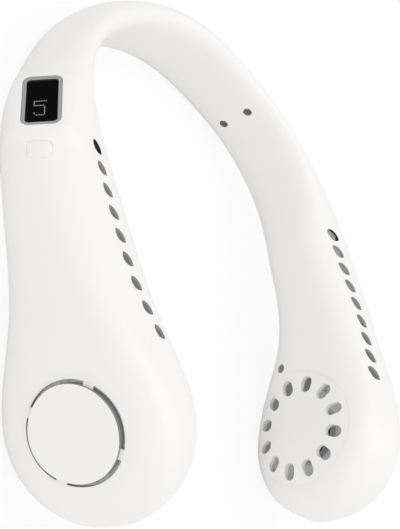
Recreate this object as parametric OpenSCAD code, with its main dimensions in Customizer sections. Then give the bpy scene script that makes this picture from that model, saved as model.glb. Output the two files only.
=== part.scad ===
// Electric neck fan: a U-shaped housing that lies round the neck, with a fan pod at the end of each
// arm, a row of air outlets along the top of each arm, and a display and power button on the right.
// +X is the wearer's left, the pods point to -Y and +Z is up. The fan rests on z = 0, on the middle
// of the back band and on the two pods.

/* [Plan] */
// Distance between the centrelines of the two arms
arm_spacing = 160; // [154:1:170]
// From the arms' rear ends back to the centreline of the band
bow_reach = 77.4; // [71:0.1:86]
// Straight part of each arm, up to the fan's axis
arm_length = 75.2; // [72:0.1:84]
// How far each fan axis lies in from the arm's line
pod_turn_in = 11.4; // [7:0.1:13]
// From the fan's axis to the front tip of the pod
pod_reach = 31.1; // [30.5:0.1:34]

/* [Section heights] */
// Height of the band at the middle of the back
back_height = 31.5; // [30:0.1:36]
// Height of the band at the side of the nape
nape_height = 30.9; // [30:0.1:36]
// Height of the housing above the shoulder
shoulder_height = 30.1; // [30:0.1:36]
// Height of the arm where the air outlets begin
rear_arm_height = 29.5; // [29:0.1:36]
// Height of the arm where the air outlets end
front_arm_height = 36.3; // [36:0.1:44]
// Height of the pod at the fan's axis
pod_height = 56.1; // [56:0.1:64]

/* [Section thicknesses] */
// Thickness of the band at the middle of the back
back_thickness = 13.3; // [13:0.1:18]
// Thickness of the band at the side of the nape
nape_thickness = 13; // [13:0.1:18]
// Thickness of the housing above the shoulder
shoulder_thickness = 13; // [13:0.1:18]
// Thickness of the arm where the air outlets begin
rear_arm_thickness = 35.6; // [35:0.1:40]
// Thickness of the arm where the air outlets end
front_arm_thickness = 35.9; // [35:0.1:40]
// Thickness of the pod at the fan's axis
pod_thickness = 34.8; // [34.5:0.1:40]

/* [Underside] */
// Clearance under the housing above the shoulder
shoulder_rise = 4.3; // [2:0.1:6]
// Clearance under the arm where the air outlets begin
rear_arm_rise = 10.6; // [6:0.1:12]
// Clearance under the arm where the air outlets end
front_arm_rise = 11.8; // [8:0.1:14]
// Depth of the flats that the fan rests on
rest_cut = 0.4; // [0.2:0.1:0.8]

/* [Shell] */
// Wall of the plastic shells
wall = 1.8; // [1.2:0.1:2.2]
// Diameter of the sunk screw holes on the neck side
screw_hole_d = 3.5; // [3.2:0.1:4]
// Outside diameter of the screw bosses
boss_d = 5.4; // [4.8:0.1:6]
// Height between the two screws at each end of the band
band_screw_spacing = 12.8; // [12:0.1:14]

/* [Air outlets] */
// Number of outlets on each arm
vent_count = 9; // [7:1:9]
// Length of each outlet slot
vent_length = 6.8; // [5:0.1:7.6]
// Width of each outlet slot
vent_width = 2.8; // [1.4:0.1:3]
// Depth of the scoop round each slot
scoop_depth = 0.8; // [0.4:0.1:1.2]
// Radius of the scoop
scoop_radius = 7; // [5:0.5:9]

/* [Air intakes] */
// Outside diameter of the ring-shaped slot on each pod's outer face
intake_slot_d = 31.6; // [28:0.2:34]
// Width of the ring-shaped slot
intake_slot_width = 1.2; // [1:0.1:1.8]
// How far the disc inside the slot stands proud
intake_disc_rise = 1.2; // [0.4:0.1:1.6]
// Width of the bridges that cross the slot
intake_bridge_width = 3.4; // [2.4:0.2:4.4]
// Diameter of the round cover on each pod's neck side
grille_d = 44.4; // [44:0.2:46]
// Diameter of the circle that the cover's oval holes lie on
grille_hole_circle_d = 34.4; // [33:0.2:34.6]
// Number of oval holes
grille_hole_count = 12; // [10:1:12]
// Length of an oval hole, towards the fan's axis
grille_hole_length = 7.4; // [6:0.1:7.6]
// Width of an oval hole
grille_hole_width = 5.2; // [3.6:0.1:5.4]

/* [Display and button] */
// Length of the display's frame, along the arm
bezel_length = 21.7; // [20.8:0.1:22.4]
// Height of the display's frame
bezel_height = 12.2; // [11.6:0.1:12.8]
// Corner radius of the display's frame
bezel_corner = 2.6; // [2.2:0.1:3.2]
// Length of the display's glass
glass_length = 19; // [18:0.1:19.4]
// Height of the display's glass
glass_height = 9.8; // [9:0.1:10.2]
// Length of the power button, along the arm
button_length = 5.7; // [5:0.1:6.2]
// Height of the power button
button_height = 7.6; // [6.8:0.1:8]
// How far the power button travels
button_travel = 0.4; // [0.3:0.05:0.5]

/* [Fan and motor] */
// Diameter of the impeller, as a share of the pod's
impeller_share = 0.706; // [0.68:0.002:0.714]
// Width of the impeller, along its axis
impeller_width = 15; // [12:0.5:15.5]
// Number of impeller blades
blade_count = 26; // [20:1:30]
// Thickness of a blade
blade_thickness = 0.7; // [0.5:0.1:0.9]
// Outside diameter of the motor's rotor cup
rotor_d = 22; // [21:0.2:22.6]
// Diameter of the motor shaft
shaft_d = 2; // [1.8:0.1:2.2]
// Outside diameter of the shaft's bearings
bearing_d = 5; // [4.8:0.1:5.4]

/* [Battery and boards] */
// Diameter of each battery cell
cell_d = 18.2; // [16:0.1:18.4]
// Length of each battery cell
cell_length = 35; // [30:0.5:38]
// Thickness of the circuit boards
board_thickness = 1; // [0.8:0.1:1.2]
// Length of the main board
board_length = 26; // [24:0.5:27]
// Height of the main board
board_height = 12; // [11:0.5:13]

/* [Hidden] */

// Gap between fitted plastic pieces, gap of a loose fit, and overrun of every cut
fit_gap = 0.15;
loose_gap = 0.3;
overrun = 1;
$fn = 48;

// Powers of the rounded outlines: the back's curve, and the section's neck side and outer side. The
// outer side is round along the arms and grows flat over the pods.
bow_power = 2.08;
neck_power = 2.75;
arm_power = 2.02;
pod_power = 4.4;
pod_power_from_share = 0.6;
tip_power = 0.8;
tip_reach_share = 0.986;
// How far the section leans out of the U, at equal shares of the housing's length
leans = [2.4, 2.1, -0.6, 3.4, -2.4, 9];

// Shares of the centreline's length, from the middle of the back to the fan's axis
band_end_share = 0.32;
band_screw_share = 0.271;
pod_screw_share = 0.869;
display_share = 0.535;
button_share = 0.6135;
board_share = 0.57;
vent_first_share = 0.589;
vent_last_share = 0.893;
cell_start_share = 0.634;
grille_from_share = 0.8;
duct_shares = [0.565, 0.6, 0.634, 0.645, 0.657, 0.67, 0.7, 0.73, 0.76, 0.8, 0.84, 0.868];
nudge_share = 0.004;

// Heights in the section of what sits on its faces
display_up = 7.3;
button_up = 7.1;
pod_screw_drop_share = 0.54;
board_up = 5;
// How far the display, the button and the pairs of band screws are turned, to follow the arm's rise
display_turn = -15;
button_turn = -4;
band_screw_turn = 8;
// The outlets' turn, and how far they lie towards the neck, as a share of half the thickness
vent_slant = 26;
vent_in_share = 0.213;
vent_lip = 0.6;
bridge_turn = 34;

// Stations along the housing and angles round its section
band_steps = 20;
arm_steps = 26;
tip_steps = 8;
outer_steps = 10;
neck_steps = 13;
shell_split = 62;
disc_angle = 32;
disc_steps = 4;
disc_end = 0.8;
button_reach_share = 0.06;

heights = [back_height, nape_height, shoulder_height, rear_arm_height, front_arm_height, pod_height];
thicknesses = [back_thickness, nape_thickness, shoulder_thickness, rear_arm_thickness, front_arm_thickness,
    pod_thickness];
rises = [0, 0, shoulder_rise, rear_arm_rise, front_arm_rise, 0];

// The centreline in plan

half_spacing = arm_spacing / 2;
bow_steps = 60;

function bow_point(turn) =
    let (size = pow(abs(sin(turn)) / half_spacing, bow_power) + pow(abs(cos(turn)) / bow_reach, bow_power))
    [sin(turn), cos(turn)] / pow(size, 1 / bow_power);

function bow_turn(i) = 90 * i / bow_steps;

bow_runs = [for (i = 0, run = 0; i <= bow_steps;
    run = run + norm(bow_point(bow_turn(i + 1)) - bow_point(bow_turn(i))), i = i + 1) run];
bow_table = [for (i = [0:bow_steps]) [bow_runs[i], bow_turn(i)]];
bow_length = bow_runs[bow_steps];
run_length = bow_length + arm_length;

function arm_point(run) = [half_spacing - pod_turn_in * pow(run / arm_length, 2), -run];

// The plan is moved back so that the whole part lies evenly about the origin. The pods are turned in,
// so their tips reach less far to the front than their own length.
plan_shift = [0, (arm_length + pod_reach * tip_reach_share - bow_reach - back_thickness / 2) / 2];

function left_point(run) =
    plan_shift + (run < bow_length ? bow_point(lookup(run, bow_table)) : arm_point(run - bow_length));

function plan_point(share) =
    let (point = left_point(abs(share) * run_length))
    share < 0 ? [-point[0], point[1]] : point;

function plan_direction(share) =
    let (step = plan_point(min(share + nudge_share, 1)) - plan_point(max(share - nudge_share, -1)))
    step / norm(step);

// A size that runs smoothly through values at equal shares of the length, and is level at both ends
function smooth_at(values, share) =
    let (
        last = len(values) - 1,
        place = min(abs(share), 1) * last,
        i = min(floor(place), last - 1),
        t = place - i,
        slope_a = i > 0 ? (values[i + 1] - values[i - 1]) / 2 : 0,
        slope_b = i < last - 1 ? (values[i + 2] - values[i]) / 2 : 0
    )
    (2 * t * t * t - 3 * t * t + 1) * values[i] + (t * t * t - 2 * t * t + t) * slope_a
    + (3 * t * t - 2 * t * t * t) * values[i + 1] + (t * t * t - t * t) * slope_b;

function half_height(share) = smooth_at(heights, share) / 2;
function half_thickness(share) = smooth_at(thicknesses, share) / 2;
function lean_at(share) = smooth_at(leans, share);
function outer_power_at(share) =
    let (t = max(min(abs(share), 1) - pod_power_from_share, 0) / (1 - pod_power_from_share))
    arm_power + (pod_power - arm_power) * t * t * (3 - 2 * t);
function heading_at(share) = let (d = plan_direction(share)) atan2(d[0], -d[1]);
function centre_at(share) =
    let (p = plan_point(share))
    [p[0], p[1], smooth_at(rises, share) + half_height(share) - rest_cut];

// The section's axes: out of the U, up, and ahead along the centreline
function out_axis(share) =
    let (d = plan_direction(share), lean = lean_at(share))
    [-d[1] * cos(lean), d[0] * cos(lean), sin(lean)];
function up_axis(share) =
    let (d = plan_direction(share), lean = lean_at(share))
    [d[1] * sin(lean), -d[0] * sin(lean), cos(lean)];
function ahead_axis(share) = let (d = plan_direction(share)) [d[0], d[1], 0];

function place_at(share, out, up) = centre_at(share) + out_axis(share) * out + up_axis(share) * up;

// A station is [share, how far it lies past the fan's axis as a share of the pod's reach]
function signed_power(value, power) = sign(value) * pow(abs(value), power);
function side_power(share, angle) = cos(angle) > 0 ? 2 / outer_power_at(share) : 2 / neck_power;

// One ring of points on the skin, or on a skin that lies inset from it
function ring(station, angles, inset) =
    let (
        share = station[0],
        fall = sqrt(1 - station[1] * station[1]),
        wide = (half_thickness(share) - inset) * pow(fall, tip_power),
        high = (half_height(share) - inset) * fall,
        centre = centre_at(share) + ahead_axis(share) * station[1] * (pod_reach - inset),
        out = out_axis(share),
        up = up_axis(share)
    )
    [for (angle = fall > 0 ? angles : [0])
        let (
            power = side_power(share, angle),
            p = centre + out * wide * signed_power(cos(angle), power)
                + up * high * signed_power(sin(angle), power)
        )
        [p[0], p[1], max(p[2], inset)]
    ];

function spread(from, to, steps) = [for (i = [0:steps]) from + (to - from) * i / steps];
tip_stations = [for (i = [1:tip_steps]) [1, i < tip_steps ? sin(90 * i / tip_steps) : 1]];
arm_stations = concat([for (share = spread(band_end_share, 1, arm_steps)) [share, 0]], tip_stations);
band_stations = [for (share = spread(-band_end_share, band_end_share, band_steps)) [share, 0]];
disc_stations = [for (s = arm_stations) if (s[0] > grille_from_share && s[1] < disc_end) s];
disc_angles = spread(-disc_angle, disc_angle, disc_steps);
outer_angles = spread(-90, shell_split, outer_steps);
button_stations = [for (s = arm_stations) if (abs(s[0] - button_share) < button_reach_share) s];
button_angles = [for (angle = outer_angles) if (angle > 0) angle];
neck_angles = spread(shell_split, 270, neck_steps);

// Where a height in the section meets the skin, on the outer side or on the neck side
function skin_angle(share, up, neck) =
    let (part = up / half_height(share), power = neck ? neck_power : outer_power_at(share))
    let (angle = asin(signed_power(part, power / 2)))
    neck ? 180 - angle : angle;

function skin_point(share, angle, inset = 0) = ring([share, 0], [angle], inset)[0];

function skin_normal(share, angle) =
    let (
        ahead = skin_point(min(share + nudge_share, 1), angle) - skin_point(share - nudge_share, angle),
        round = skin_point(share, angle + 1) - skin_point(share, angle - 1),
        n = cross(round, ahead)
    )
    n / norm(n);

// Moves children to the section at a share: x is out, y is back along the arm and z is up
module at_section(share, out = 0, up = 0) {
    translate(place_at(share, out, up))
    rotate([0, -lean_at(share), heading_at(share)])
    children();
}

// Moves children to the outer face: z points out of the face, x runs back along the arm and y is up,
// and both are then turned in the face
module on_face(share, up, turn = 0) {
    angle = skin_angle(share, up, false);
    n = skin_normal(share, angle);
    translate(skin_point(share, angle))
    rotate([0, -asin(n[2]), atan2(n[1], n[0])])
    rotate([0, 90, 0])
    rotate([0, 0, 90 + turn])
    children();
}

module on_display() {
    on_face(display_share, display_up, display_turn)
    children();
}

module on_button() {
    on_face(button_share, button_up, button_turn)
    children();
}

// Moves children to the fan's axis, with z along it and out of the U, and y up
module on_fan() {
    at_section(1)
    rotate([0, 90, 0])
    rotate([0, 0, 90])
    children();
}

module on_right() {
    mirror([1, 0, 0])
    children();
}

// The skins

function flatten(rows) = [for (row = rows) each row];

// A closed sheet between two skins. Each is rows of points, and the last row may be one point.
module sheet(outer_rows, inner_rows) {
    rows = len(outer_rows);
    columns = len(outer_rows[0]);
    pointed = len(outer_rows[rows - 1]) == 1;
    under = len(flatten(outer_rows));
    function at(base, i, j) = base + i * columns + (pointed && i == rows - 1 ? 0 : j);
    function whole(i) = !(pointed && i == rows - 2);
    outer_faces = [for (i = [0:rows - 2], j = [0:columns - 2]) each [
        [at(0, i, j), at(0, i + 1, j + 1), at(0, i, j + 1)],
        if (whole(i)) [at(0, i, j), at(0, i + 1, j), at(0, i + 1, j + 1)]
    ]];
    inner_faces = [for (i = [0:rows - 2], j = [0:columns - 2]) each [
        [at(under, i, j), at(under, i, j + 1), at(under, i + 1, j + 1)],
        if (whole(i)) [at(under, i, j), at(under, i + 1, j + 1), at(under, i + 1, j)]
    ]];
    last = columns - 1;
    rim_faces = [for (i = [0:rows - 2]) each [
        [at(0, i, 0), at(under, i + 1, 0), at(0, i + 1, 0)],
        [at(0, i, 0), at(under, i, 0), at(under, i + 1, 0)],
        [at(0, i, last), at(0, i + 1, last), at(under, i + 1, last)],
        [at(0, i, last), at(under, i + 1, last), at(under, i, last)]
    ]];
    start_faces = [for (j = [0:columns - 2]) each [
        [at(0, 0, j), at(0, 0, j + 1), at(under, 0, j + 1)],
        [at(0, 0, j), at(under, 0, j + 1), at(under, 0, j)]
    ]];
    end_faces = pointed ? [] : [for (j = [0:columns - 2]) each [
        [at(0, rows - 1, j), at(under, rows - 1, j + 1), at(0, rows - 1, j + 1)],
        [at(0, rows - 1, j), at(under, rows - 1, j), at(under, rows - 1, j + 1)]
    ]];
    polyhedron(
        concat(flatten(outer_rows), flatten(inner_rows)),
        concat(outer_faces, inner_faces, rim_faces, start_faces, end_faces)
    );
}

// A wall of the housing over the given stations and angles
module skin_wall(stations, angles) {
    sheet([for (s = stations) ring(s, angles, 0)], [for (s = stations) ring(s, angles, wall)]);
}

// A closed bar through rings of points, for leads and floors
module bar(rings) {
    sides = len(rings[0]);
    last = len(rings) - 1;
    polyhedron(
        flatten(rings),
        concat(
            [for (i = [0:last - 1], j = [0:sides - 1]) each let (k = (j + 1) % sides) [
                [i * sides + j, (i + 1) * sides + j, (i + 1) * sides + k],
                [i * sides + j, (i + 1) * sides + k, i * sides + k]
            ]],
            [[for (j = [0:sides - 1]) j]],
            [[for (j = [sides - 1:-1:0]) last * sides + j]]
        )
    );
}

module rounded_rectangle(length, height, radius) {
    square([length - 2 * radius, height], center = true);
    square([length, height - 2 * radius], center = true);
    for (x = [-1, 1], y = [-1, 1])
        translate([x * (length / 2 - radius), y * (height / 2 - radius)])
        circle(radius);
}

module tube(outer_d, inner_d, height) {
    difference() {
        cylinder(h = height, d = outer_d);
        translate([0, 0, -overrun])
        cylinder(h = height + 2 * overrun, d = inner_d);
    }
}

// Screws and their bosses. z runs into the screw's hole from the neck side.

screw_head_d = 3;
screw_head_height = 1;
screw_shank_d = 1.7;
screw_pilot_d = 1.8;
screw_pass_d = 2.1;
screw_floor = 1;
screw_slot = 0.5;

module band_screw_places() {
    for (side = [-1, 1], up = [-1, 1] * band_screw_spacing / 2)
        at_section(side * band_screw_share)
        rotate([-side * band_screw_turn, 0, 0])
        translate([0, 0, up])
        rotate([0, 90, 0])
        children();
}

module pod_screw_place() {
    at_section(pod_screw_share, 0, pod_screw_up)
    rotate([0, 90, 0])
    children();
}

// How far out the skin lies at a height in the section, on the outer side or on the neck side
function face_out(share, up, power, inset) =
    (half_thickness(share) - inset) * pow(1 - pow(abs(up) / (half_height(share) - inset), power), 1 / power);
function outer_out(share, up, inset = 0) = face_out(share, up, outer_power_at(share), inset);
function neck_out(share, up, inset = 0) = face_out(share, up, neck_power, inset);

// A screw's places along its own axis: [mouth, start of the well, seat, end of the boss, end of the bore]
function screw_line(share, up) =
    let (edge = abs(up) + boss_d / 2, half = half_thickness(share))
    [-half - overrun, -neck_out(share, edge) + fit_gap, -half * screw_seat_share,
        outer_out(share, edge) - wall / 2, outer_out(share, edge) - wall];

screw_seat_share = 0.35;
band_line = screw_line(band_screw_share, band_screw_spacing / 2);
pod_screw_up = -pod_screw_drop_share * half_height(pod_screw_share);
pod_line = screw_line(pod_screw_share, pod_screw_up);

// A cylinder between two places on its axis
module between(from, to, d) {
    translate([0, 0, from])
    cylinder(h = to - from, d = d);
}

// The well on the neck side, from its mouth to the seat where the outer shell's boss stands
module screw_well(line) {
    between(line[1], line[2], boss_d);
}

module screw_well_bore(line) {
    between(line[0], line[2] - screw_floor, screw_hole_d);
    between(line[2] - screw_floor - overrun, line[2] + overrun, screw_pass_d);
}

module screw_boss(line) {
    between(line[2], line[3], boss_d);
}

module screw_boss_bore(line) {
    between(line[2] - overrun, line[4], screw_pilot_d);
}

module screw(line) {
    head = line[2] - screw_floor;
    difference() {
        between(head - screw_head_height, head, screw_head_d);
        for (turn = [0, 90])
            translate([0, 0, head - screw_head_height])
            rotate([0, 0, turn])
            cube([screw_head_d * 0.6, screw_slot, screw_head_height], center = true);
    }
    between(head, line[4] - fit_gap, screw_shank_d);
}

// The shells

vent_shares = spread(vent_first_share, vent_last_share, vent_count - 1);

function vent_out(share) = -half_thickness(share) * vent_in_share;
function vent_up(share) = half_height(share) * pow(1 - pow(vent_in_share, neck_power), 1 / neck_power);
function vent_at(share) = place_at(share, vent_out(share), vent_up(share));

// Moves children to each air outlet, with z out of the skin and y back along the arm
module vent_places() {
    for (share = vent_shares) {
        rise = vent_at(share + nudge_share) - vent_at(share - nudge_share);
        fall = half_height(share) / half_thickness(share)
            * pow(vent_in_share * half_height(share) / vent_up(share), neck_power - 1);
        at_section(share, vent_out(share), vent_up(share))
        rotate([-asin(rise[2] / norm(rise)), -atan(fall), 0])
        rotate([0, 0, vent_slant])
        children();
    }
}

// A leaf-shaped outline with its points on the y axis
module leaf(length, width) {
    radius = (length * length + width * width) / (4 * width);
    intersection_for (side = [-1, 1])
        translate([side * (radius - width / 2), 0])
        circle(radius);
}

// The air outlets: each a leaf-shaped slot in a round scoop, in a wall thinned from inside
module vents() {
    vent_places() {
        translate([0, 0, -2 * wall - scoop_depth])
        linear_extrude(2 * wall + scoop_depth + overrun)
        leaf(vent_length, vent_width);
        translate([0, 0, -scoop_depth - vent_lip - wall])
        cube([vent_width + wall, vent_length, 2 * wall], center = true);
        translate([0, 0, scoop_radius - scoop_depth])
        sphere(scoop_radius);
    }
}

// The ring-shaped slot in a pod's outer face, crossed by four bridges
module intake_slot() {
    reach = half_thickness(1) + overrun;
    difference() {
        translate([0, 0, wall])
        tube(intake_slot_d, intake_slot_d - 2 * intake_slot_width, reach);
        for (turn = [0, 90])
            rotate([0, 0, turn + bridge_turn])
            cube([intake_bridge_width, intake_slot_d + 2 * overrun, 2 * reach + 2 * wall], center = true);
    }
}

// The disc inside the ring-shaped slot stands proud of the skin
module intake_disc() {
    reach = half_thickness(1) + intake_disc_rise + overrun;
    intersection() {
        sheet([for (s = disc_stations) ring(s, disc_angles, -intake_disc_rise)],
            [for (s = disc_stations) ring(s, disc_angles, wall / 2)]);
        on_fan()
        cylinder(h = reach, d = intake_slot_d - 2 * intake_slot_width);
    }
}

module display_window() {
    translate([0, 0, -3 * wall])
    linear_extrude(4 * wall)
    rounded_rectangle(bezel_length + 2 * fit_gap, bezel_height + 2 * fit_gap, bezel_corner + fit_gap);
}

module button_window() {
    translate([0, 0, -2 * wall])
    linear_extrude(3 * wall)
    rounded_rectangle(button_length + 2 * fit_gap, button_height + 2 * fit_gap, button_corner + fit_gap);
}

module outer_shell() {
    color("white")
    difference() {
        union() {
            skin_wall(arm_stations, outer_angles);
            intake_disc();
            pod_screw_place()
            screw_boss(pod_line);
        }
        on_fan()
        intake_slot();
        pod_screw_place()
        screw_boss_bore(pod_line);
    }
}

module inner_shell() {
    color("white")
    difference() {
        union() {
            skin_wall(arm_stations, neck_angles);
            pod_screw_place()
            screw_well(pod_line);
        }
        vents();
        on_fan()
        translate([0, 0, -half_thickness(1) - overrun])
        cylinder(h = half_thickness(1), d = grille_d);
        pod_screw_place()
        screw_well_bore(pod_line);
    }
}

module left_outer_shell() {
    outer_shell();
}

module right_outer_shell() {
    on_right()
    difference() {
        outer_shell();
        on_display()
        display_window();
        on_button()
        button_window();
        charging_cut();
    }
}

module left_inner_shell() {
    inner_shell();
}

module right_inner_shell() {
    on_right()
    inner_shell();
}

module band_outer_shell() {
    color("white")
    difference() {
        union() {
            skin_wall(band_stations, outer_angles);
            band_screw_places()
            screw_boss(band_line);
        }
        band_screw_places()
        screw_boss_bore(band_line);
    }
}

module band_inner_shell() {
    color("white")
    difference() {
        union() {
            skin_wall(band_stations, neck_angles);
            band_screw_places()
            screw_well(band_line);
        }
        band_screw_places()
        screw_well_bore(band_line);
    }
}

// The round cover on the neck side of a pod. It carries the motor.

grille_skirt = 2.5;
grille_wall = 1;
seat_post_d = 12;
seat_post_height = 1.6;
seat_start = wall + seat_post_height - half_thickness(1);
grille_stations = [for (s = arm_stations) if (s[0] > grille_from_share) s];

module grille() {
    reach = half_thickness(1);
    color("white")
    difference() {
        union() {
            intersection() {
                skin_wall(grille_stations, neck_angles);
                on_fan()
                translate([0, 0, -reach - overrun])
                cylinder(h = reach, d = grille_d - 2 * fit_gap);
            }
            intersection() {
                sheet([for (s = grille_stations) ring(s, neck_angles, wall / 2)],
                    [for (s = grille_stations) ring(s, neck_angles, wall + grille_skirt)]);
                on_fan()
                translate([0, 0, -reach])
                tube(grille_d - 2 * fit_gap, grille_d - 2 * fit_gap - 2 * grille_wall, reach);
            }
            on_fan()
            translate([0, 0, -reach + wall / 2])
            cylinder(h = seat_start + reach - wall / 2, d = seat_post_d);
        }
        on_fan()
        for (i = [0:grille_hole_count - 1])
            rotate([0, 0, 360 * (i + 0.5) / grille_hole_count])
            translate([grille_hole_circle_d / 2, 0, -reach - overrun])
            linear_extrude(reach)
            oval(grille_hole_length, grille_hole_width);
    }
}

module oval(length, width) {
    square([length - width, width], center = true);
    for (x = [-1, 1])
        translate([x * (length - width) / 2, 0])
        circle(d = width);
}

module left_grille() {
    grille();
}

module right_grille() {
    on_right()
    grille();
}

// The display, the power button and the main board, all in the right arm

bezel_sink = 0.5;
bezel_depth = 3;
glass_sink = 0.8;
glass_thickness = 1;
module_depth = 2.9;
board_depth = 8.5;
button_corner = 1.6;
button_proud = 0.05;
button_flange = 0.8;
button_flange_thickness = 0.7;
plunger_d = 2;
switch_size = 4.2;
switch_height = 1.6;
socket_ahead = 6;
socket_drop = 11.6;
socket_length = 8.9;
socket_thickness = 3.2;
socket_height = 7.4;
socket_wall = 0.3;
tongue_length = 6.6;
tongue_thickness = 0.7;

module display_bezel() {
    color("silver")
    on_right()
    on_display()
    translate([0, 0, -bezel_depth])
    linear_extrude(bezel_depth - bezel_sink)
    difference() {
        rounded_rectangle(bezel_length, bezel_height, bezel_corner);
        rounded_rectangle(glass_length, glass_height, bezel_corner / 2);
    }
}

module display_glass() {
    color("black")
    on_right()
    on_display()
    translate([0, 0, -glass_sink - glass_thickness])
    linear_extrude(glass_thickness)
    rounded_rectangle(glass_length - 2 * fit_gap, glass_height - 2 * fit_gap, bezel_corner / 2 - fit_gap);
}

module display_module() {
    color("dimgray")
    on_right()
    on_display()
    translate([0, 0, -glass_sink - glass_thickness - module_depth])
    linear_extrude(module_depth)
    rounded_rectangle(glass_length - 4 * fit_gap, glass_height - 4 * fit_gap, bezel_corner / 2 - fit_gap);
}

module main_board() {
    color("seagreen")
    on_right()
    on_face(board_share, board_up)
    translate([0, 0, -board_depth - board_thickness])
    linear_extrude(board_thickness)
    square([board_length, board_height], center = true);
}

// A face's point and its axes: back along the arm, up, and out of the face
function face_point(share, up) = skin_point(share, skin_angle(share, up, false));
function face_normal(share, up) = skin_normal(share, skin_angle(share, up, false));
function face_back(n) = let (back = [-n[1], n[0], 0]) back / norm(back);

// Where the button's axis meets the board's face
board_normal = face_normal(board_share, board_up);
board_origin = face_point(board_share, board_up) - board_normal * board_depth;
button_normal = face_normal(button_share, button_up);
button_depth = (face_point(button_share, button_up) - board_origin) * board_normal
    / (button_normal * board_normal);
switch_point = face_point(button_share, button_up) - button_normal * button_depth - board_origin;
switch_back = switch_point * face_back(board_normal);
switch_up = switch_point * cross(board_normal, face_back(board_normal));
flange_top = -wall - 2 * loose_gap;
plunger_end = -button_depth + button_travel + loose_gap;

module power_switch() {
    color("dimgray")
    on_right()
    difference() {
        on_face(board_share, board_up)
        translate([switch_back - switch_size / 2, switch_up - switch_size / 2, -board_depth])
        cube([switch_size, switch_size, switch_height]);
        on_button()
        between(plunger_end - button_travel - fit_gap, 0, plunger_d + 2 * fit_gap);
    }
}

module power_button() {
    color("white")
    on_right()
    {
        intersection() {
            on_button()
            translate([0, 0, flange_top])
            linear_extrude(overrun - flange_top)
            rounded_rectangle(button_length, button_height, button_corner);
            sheet([for (s = button_stations) ring(s, button_angles, -button_proud)],
                [for (s = button_stations) ring(s, button_angles, wall)]);
        }
        on_button()
        translate([0, 0, flange_top - button_flange_thickness / 2])
        linear_extrude(button_flange_thickness / 2 - flange_top - wall * 0.7)
        rounded_rectangle(button_length, button_height, button_corner);
        on_button()
        translate([0, 0, flange_top - button_flange_thickness])
        linear_extrude(button_flange_thickness)
        rounded_rectangle(button_length + 2 * button_flange, button_height - 2 * button_flange,
            button_corner);
    }
}

module switch_plunger() {
    color("white")
    on_right()
    on_button()
    between(plunger_end, flange_top - button_flange_thickness, plunger_d);
}

// Moves children to the charging socket, with z up into the arm from the socket's mouth
module at_socket() {
    on_face(board_share, board_up)
    translate([-socket_ahead, -socket_drop, -board_depth - board_thickness - socket_thickness / 2])
    rotate([-90, 0, 0])
    children();
}

module charging_cut() {
    at_socket()
    translate([0, 0, -wall - overrun])
    linear_extrude(3 * wall + overrun)
    rounded_rectangle(socket_length + 2 * fit_gap, socket_thickness + 2 * fit_gap, socket_thickness / 2);
}

module charging_socket() {
    color("silver")
    on_right()
    at_socket() {
        linear_extrude(socket_height)
        difference() {
            rounded_rectangle(socket_length, socket_thickness, socket_thickness / 2 - fit_gap / 2);
            rounded_rectangle(socket_length - 2 * socket_wall, socket_thickness - 2 * socket_wall,
                socket_thickness / 2 - socket_wall - fit_gap / 2);
        }
        translate([0, 0, socket_height - overrun])
        linear_extrude(overrun)
        rounded_rectangle(socket_length, socket_thickness, socket_thickness / 2 - fit_gap / 2);
        translate([0, 0, tongue_thickness])
        linear_extrude(socket_height - tongue_thickness)
        square([tongue_length, tongue_thickness], center = true);
    }
}

// The motor, on the fan's axis. Its seat stands on the grille's post.

seat_thickness = 1.2;
seat_tube_wall = 0.9;
running_gap = 0.02;
cup_wall = 0.5;
magnet_thickness = 1.2;
hub_wall = 1.2;
impeller_ring = 1.2;
motor_board_d = 24;
bearing_length = 2.3;
stator_gap = 0.6;
pole_count = 9;
pole_width = 1.6;
pole_cap = 1.2;

seat_top = seat_start + seat_thickness;
motor_board_start = seat_top + loose_gap;
cup_start = motor_board_start + board_thickness + stator_gap;
cup_end = cup_start + rotor_d * 0.38;
stator_start = cup_start + stator_gap;
stator_end = cup_end - cup_wall - 3 * loose_gap;
tube_end = stator_end + loose_gap;
tube_d = bearing_d + 2 * seat_tube_wall;
magnet_d = rotor_d - 2 * cup_wall - 2 * running_gap;
stator_d = magnet_d - 2 * magnet_thickness - 2 * stator_gap;
pod_radius = min(pod_height / 2, pod_reach);
impeller_d = 2 * pod_radius * impeller_share;
impeller_start = -impeller_width / 2;
impeller_end = impeller_width / 2;

module motor_seat() {
    color("gainsboro")
    on_fan()
    difference() {
        union() {
            between(seat_start, seat_top, motor_board_d - 2 * loose_gap);
            between(seat_top - seat_thickness / 2, tube_end, tube_d);
        }
        between(seat_top, tube_end + overrun, bearing_d + 2 * running_gap);
    }
}

module bearings() {
    color("silver")
    on_fan()
    for (start = [seat_top, tube_end - bearing_length])
        translate([0, 0, start])
        tube(bearing_d, shaft_d + 2 * running_gap, bearing_length);
}

module motor_shaft() {
    color("silver")
    on_fan()
    between(seat_top + fit_gap, cup_end, shaft_d);
}

module motor_board() {
    color("seagreen")
    on_fan()
    translate([0, 0, motor_board_start])
    tube(motor_board_d, tube_d + 2 * loose_gap, board_thickness);
}

module stator() {
    color("dimgray")
    on_fan()
    translate([0, 0, stator_start])
    linear_extrude(stator_end - stator_start)
    difference() {
        union() {
            circle(d = tube_d + 2 * pole_width);
            for (i = [0:pole_count - 1])
                rotate([0, 0, 360 * i / pole_count])
                translate([0, -pole_width / 2])
                square([stator_d / 2 - pole_cap / 2, pole_width]);
            difference() {
                circle(d = stator_d);
                circle(d = stator_d - 2 * pole_cap);
                for (i = [0:pole_count - 1])
                    rotate([0, 0, 360 * (i + 0.5) / pole_count])
                    translate([0, -pole_width / 2])
                    square([stator_d, pole_width]);
            }
        }
        circle(d = tube_d + 2 * running_gap);
    }
}

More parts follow.
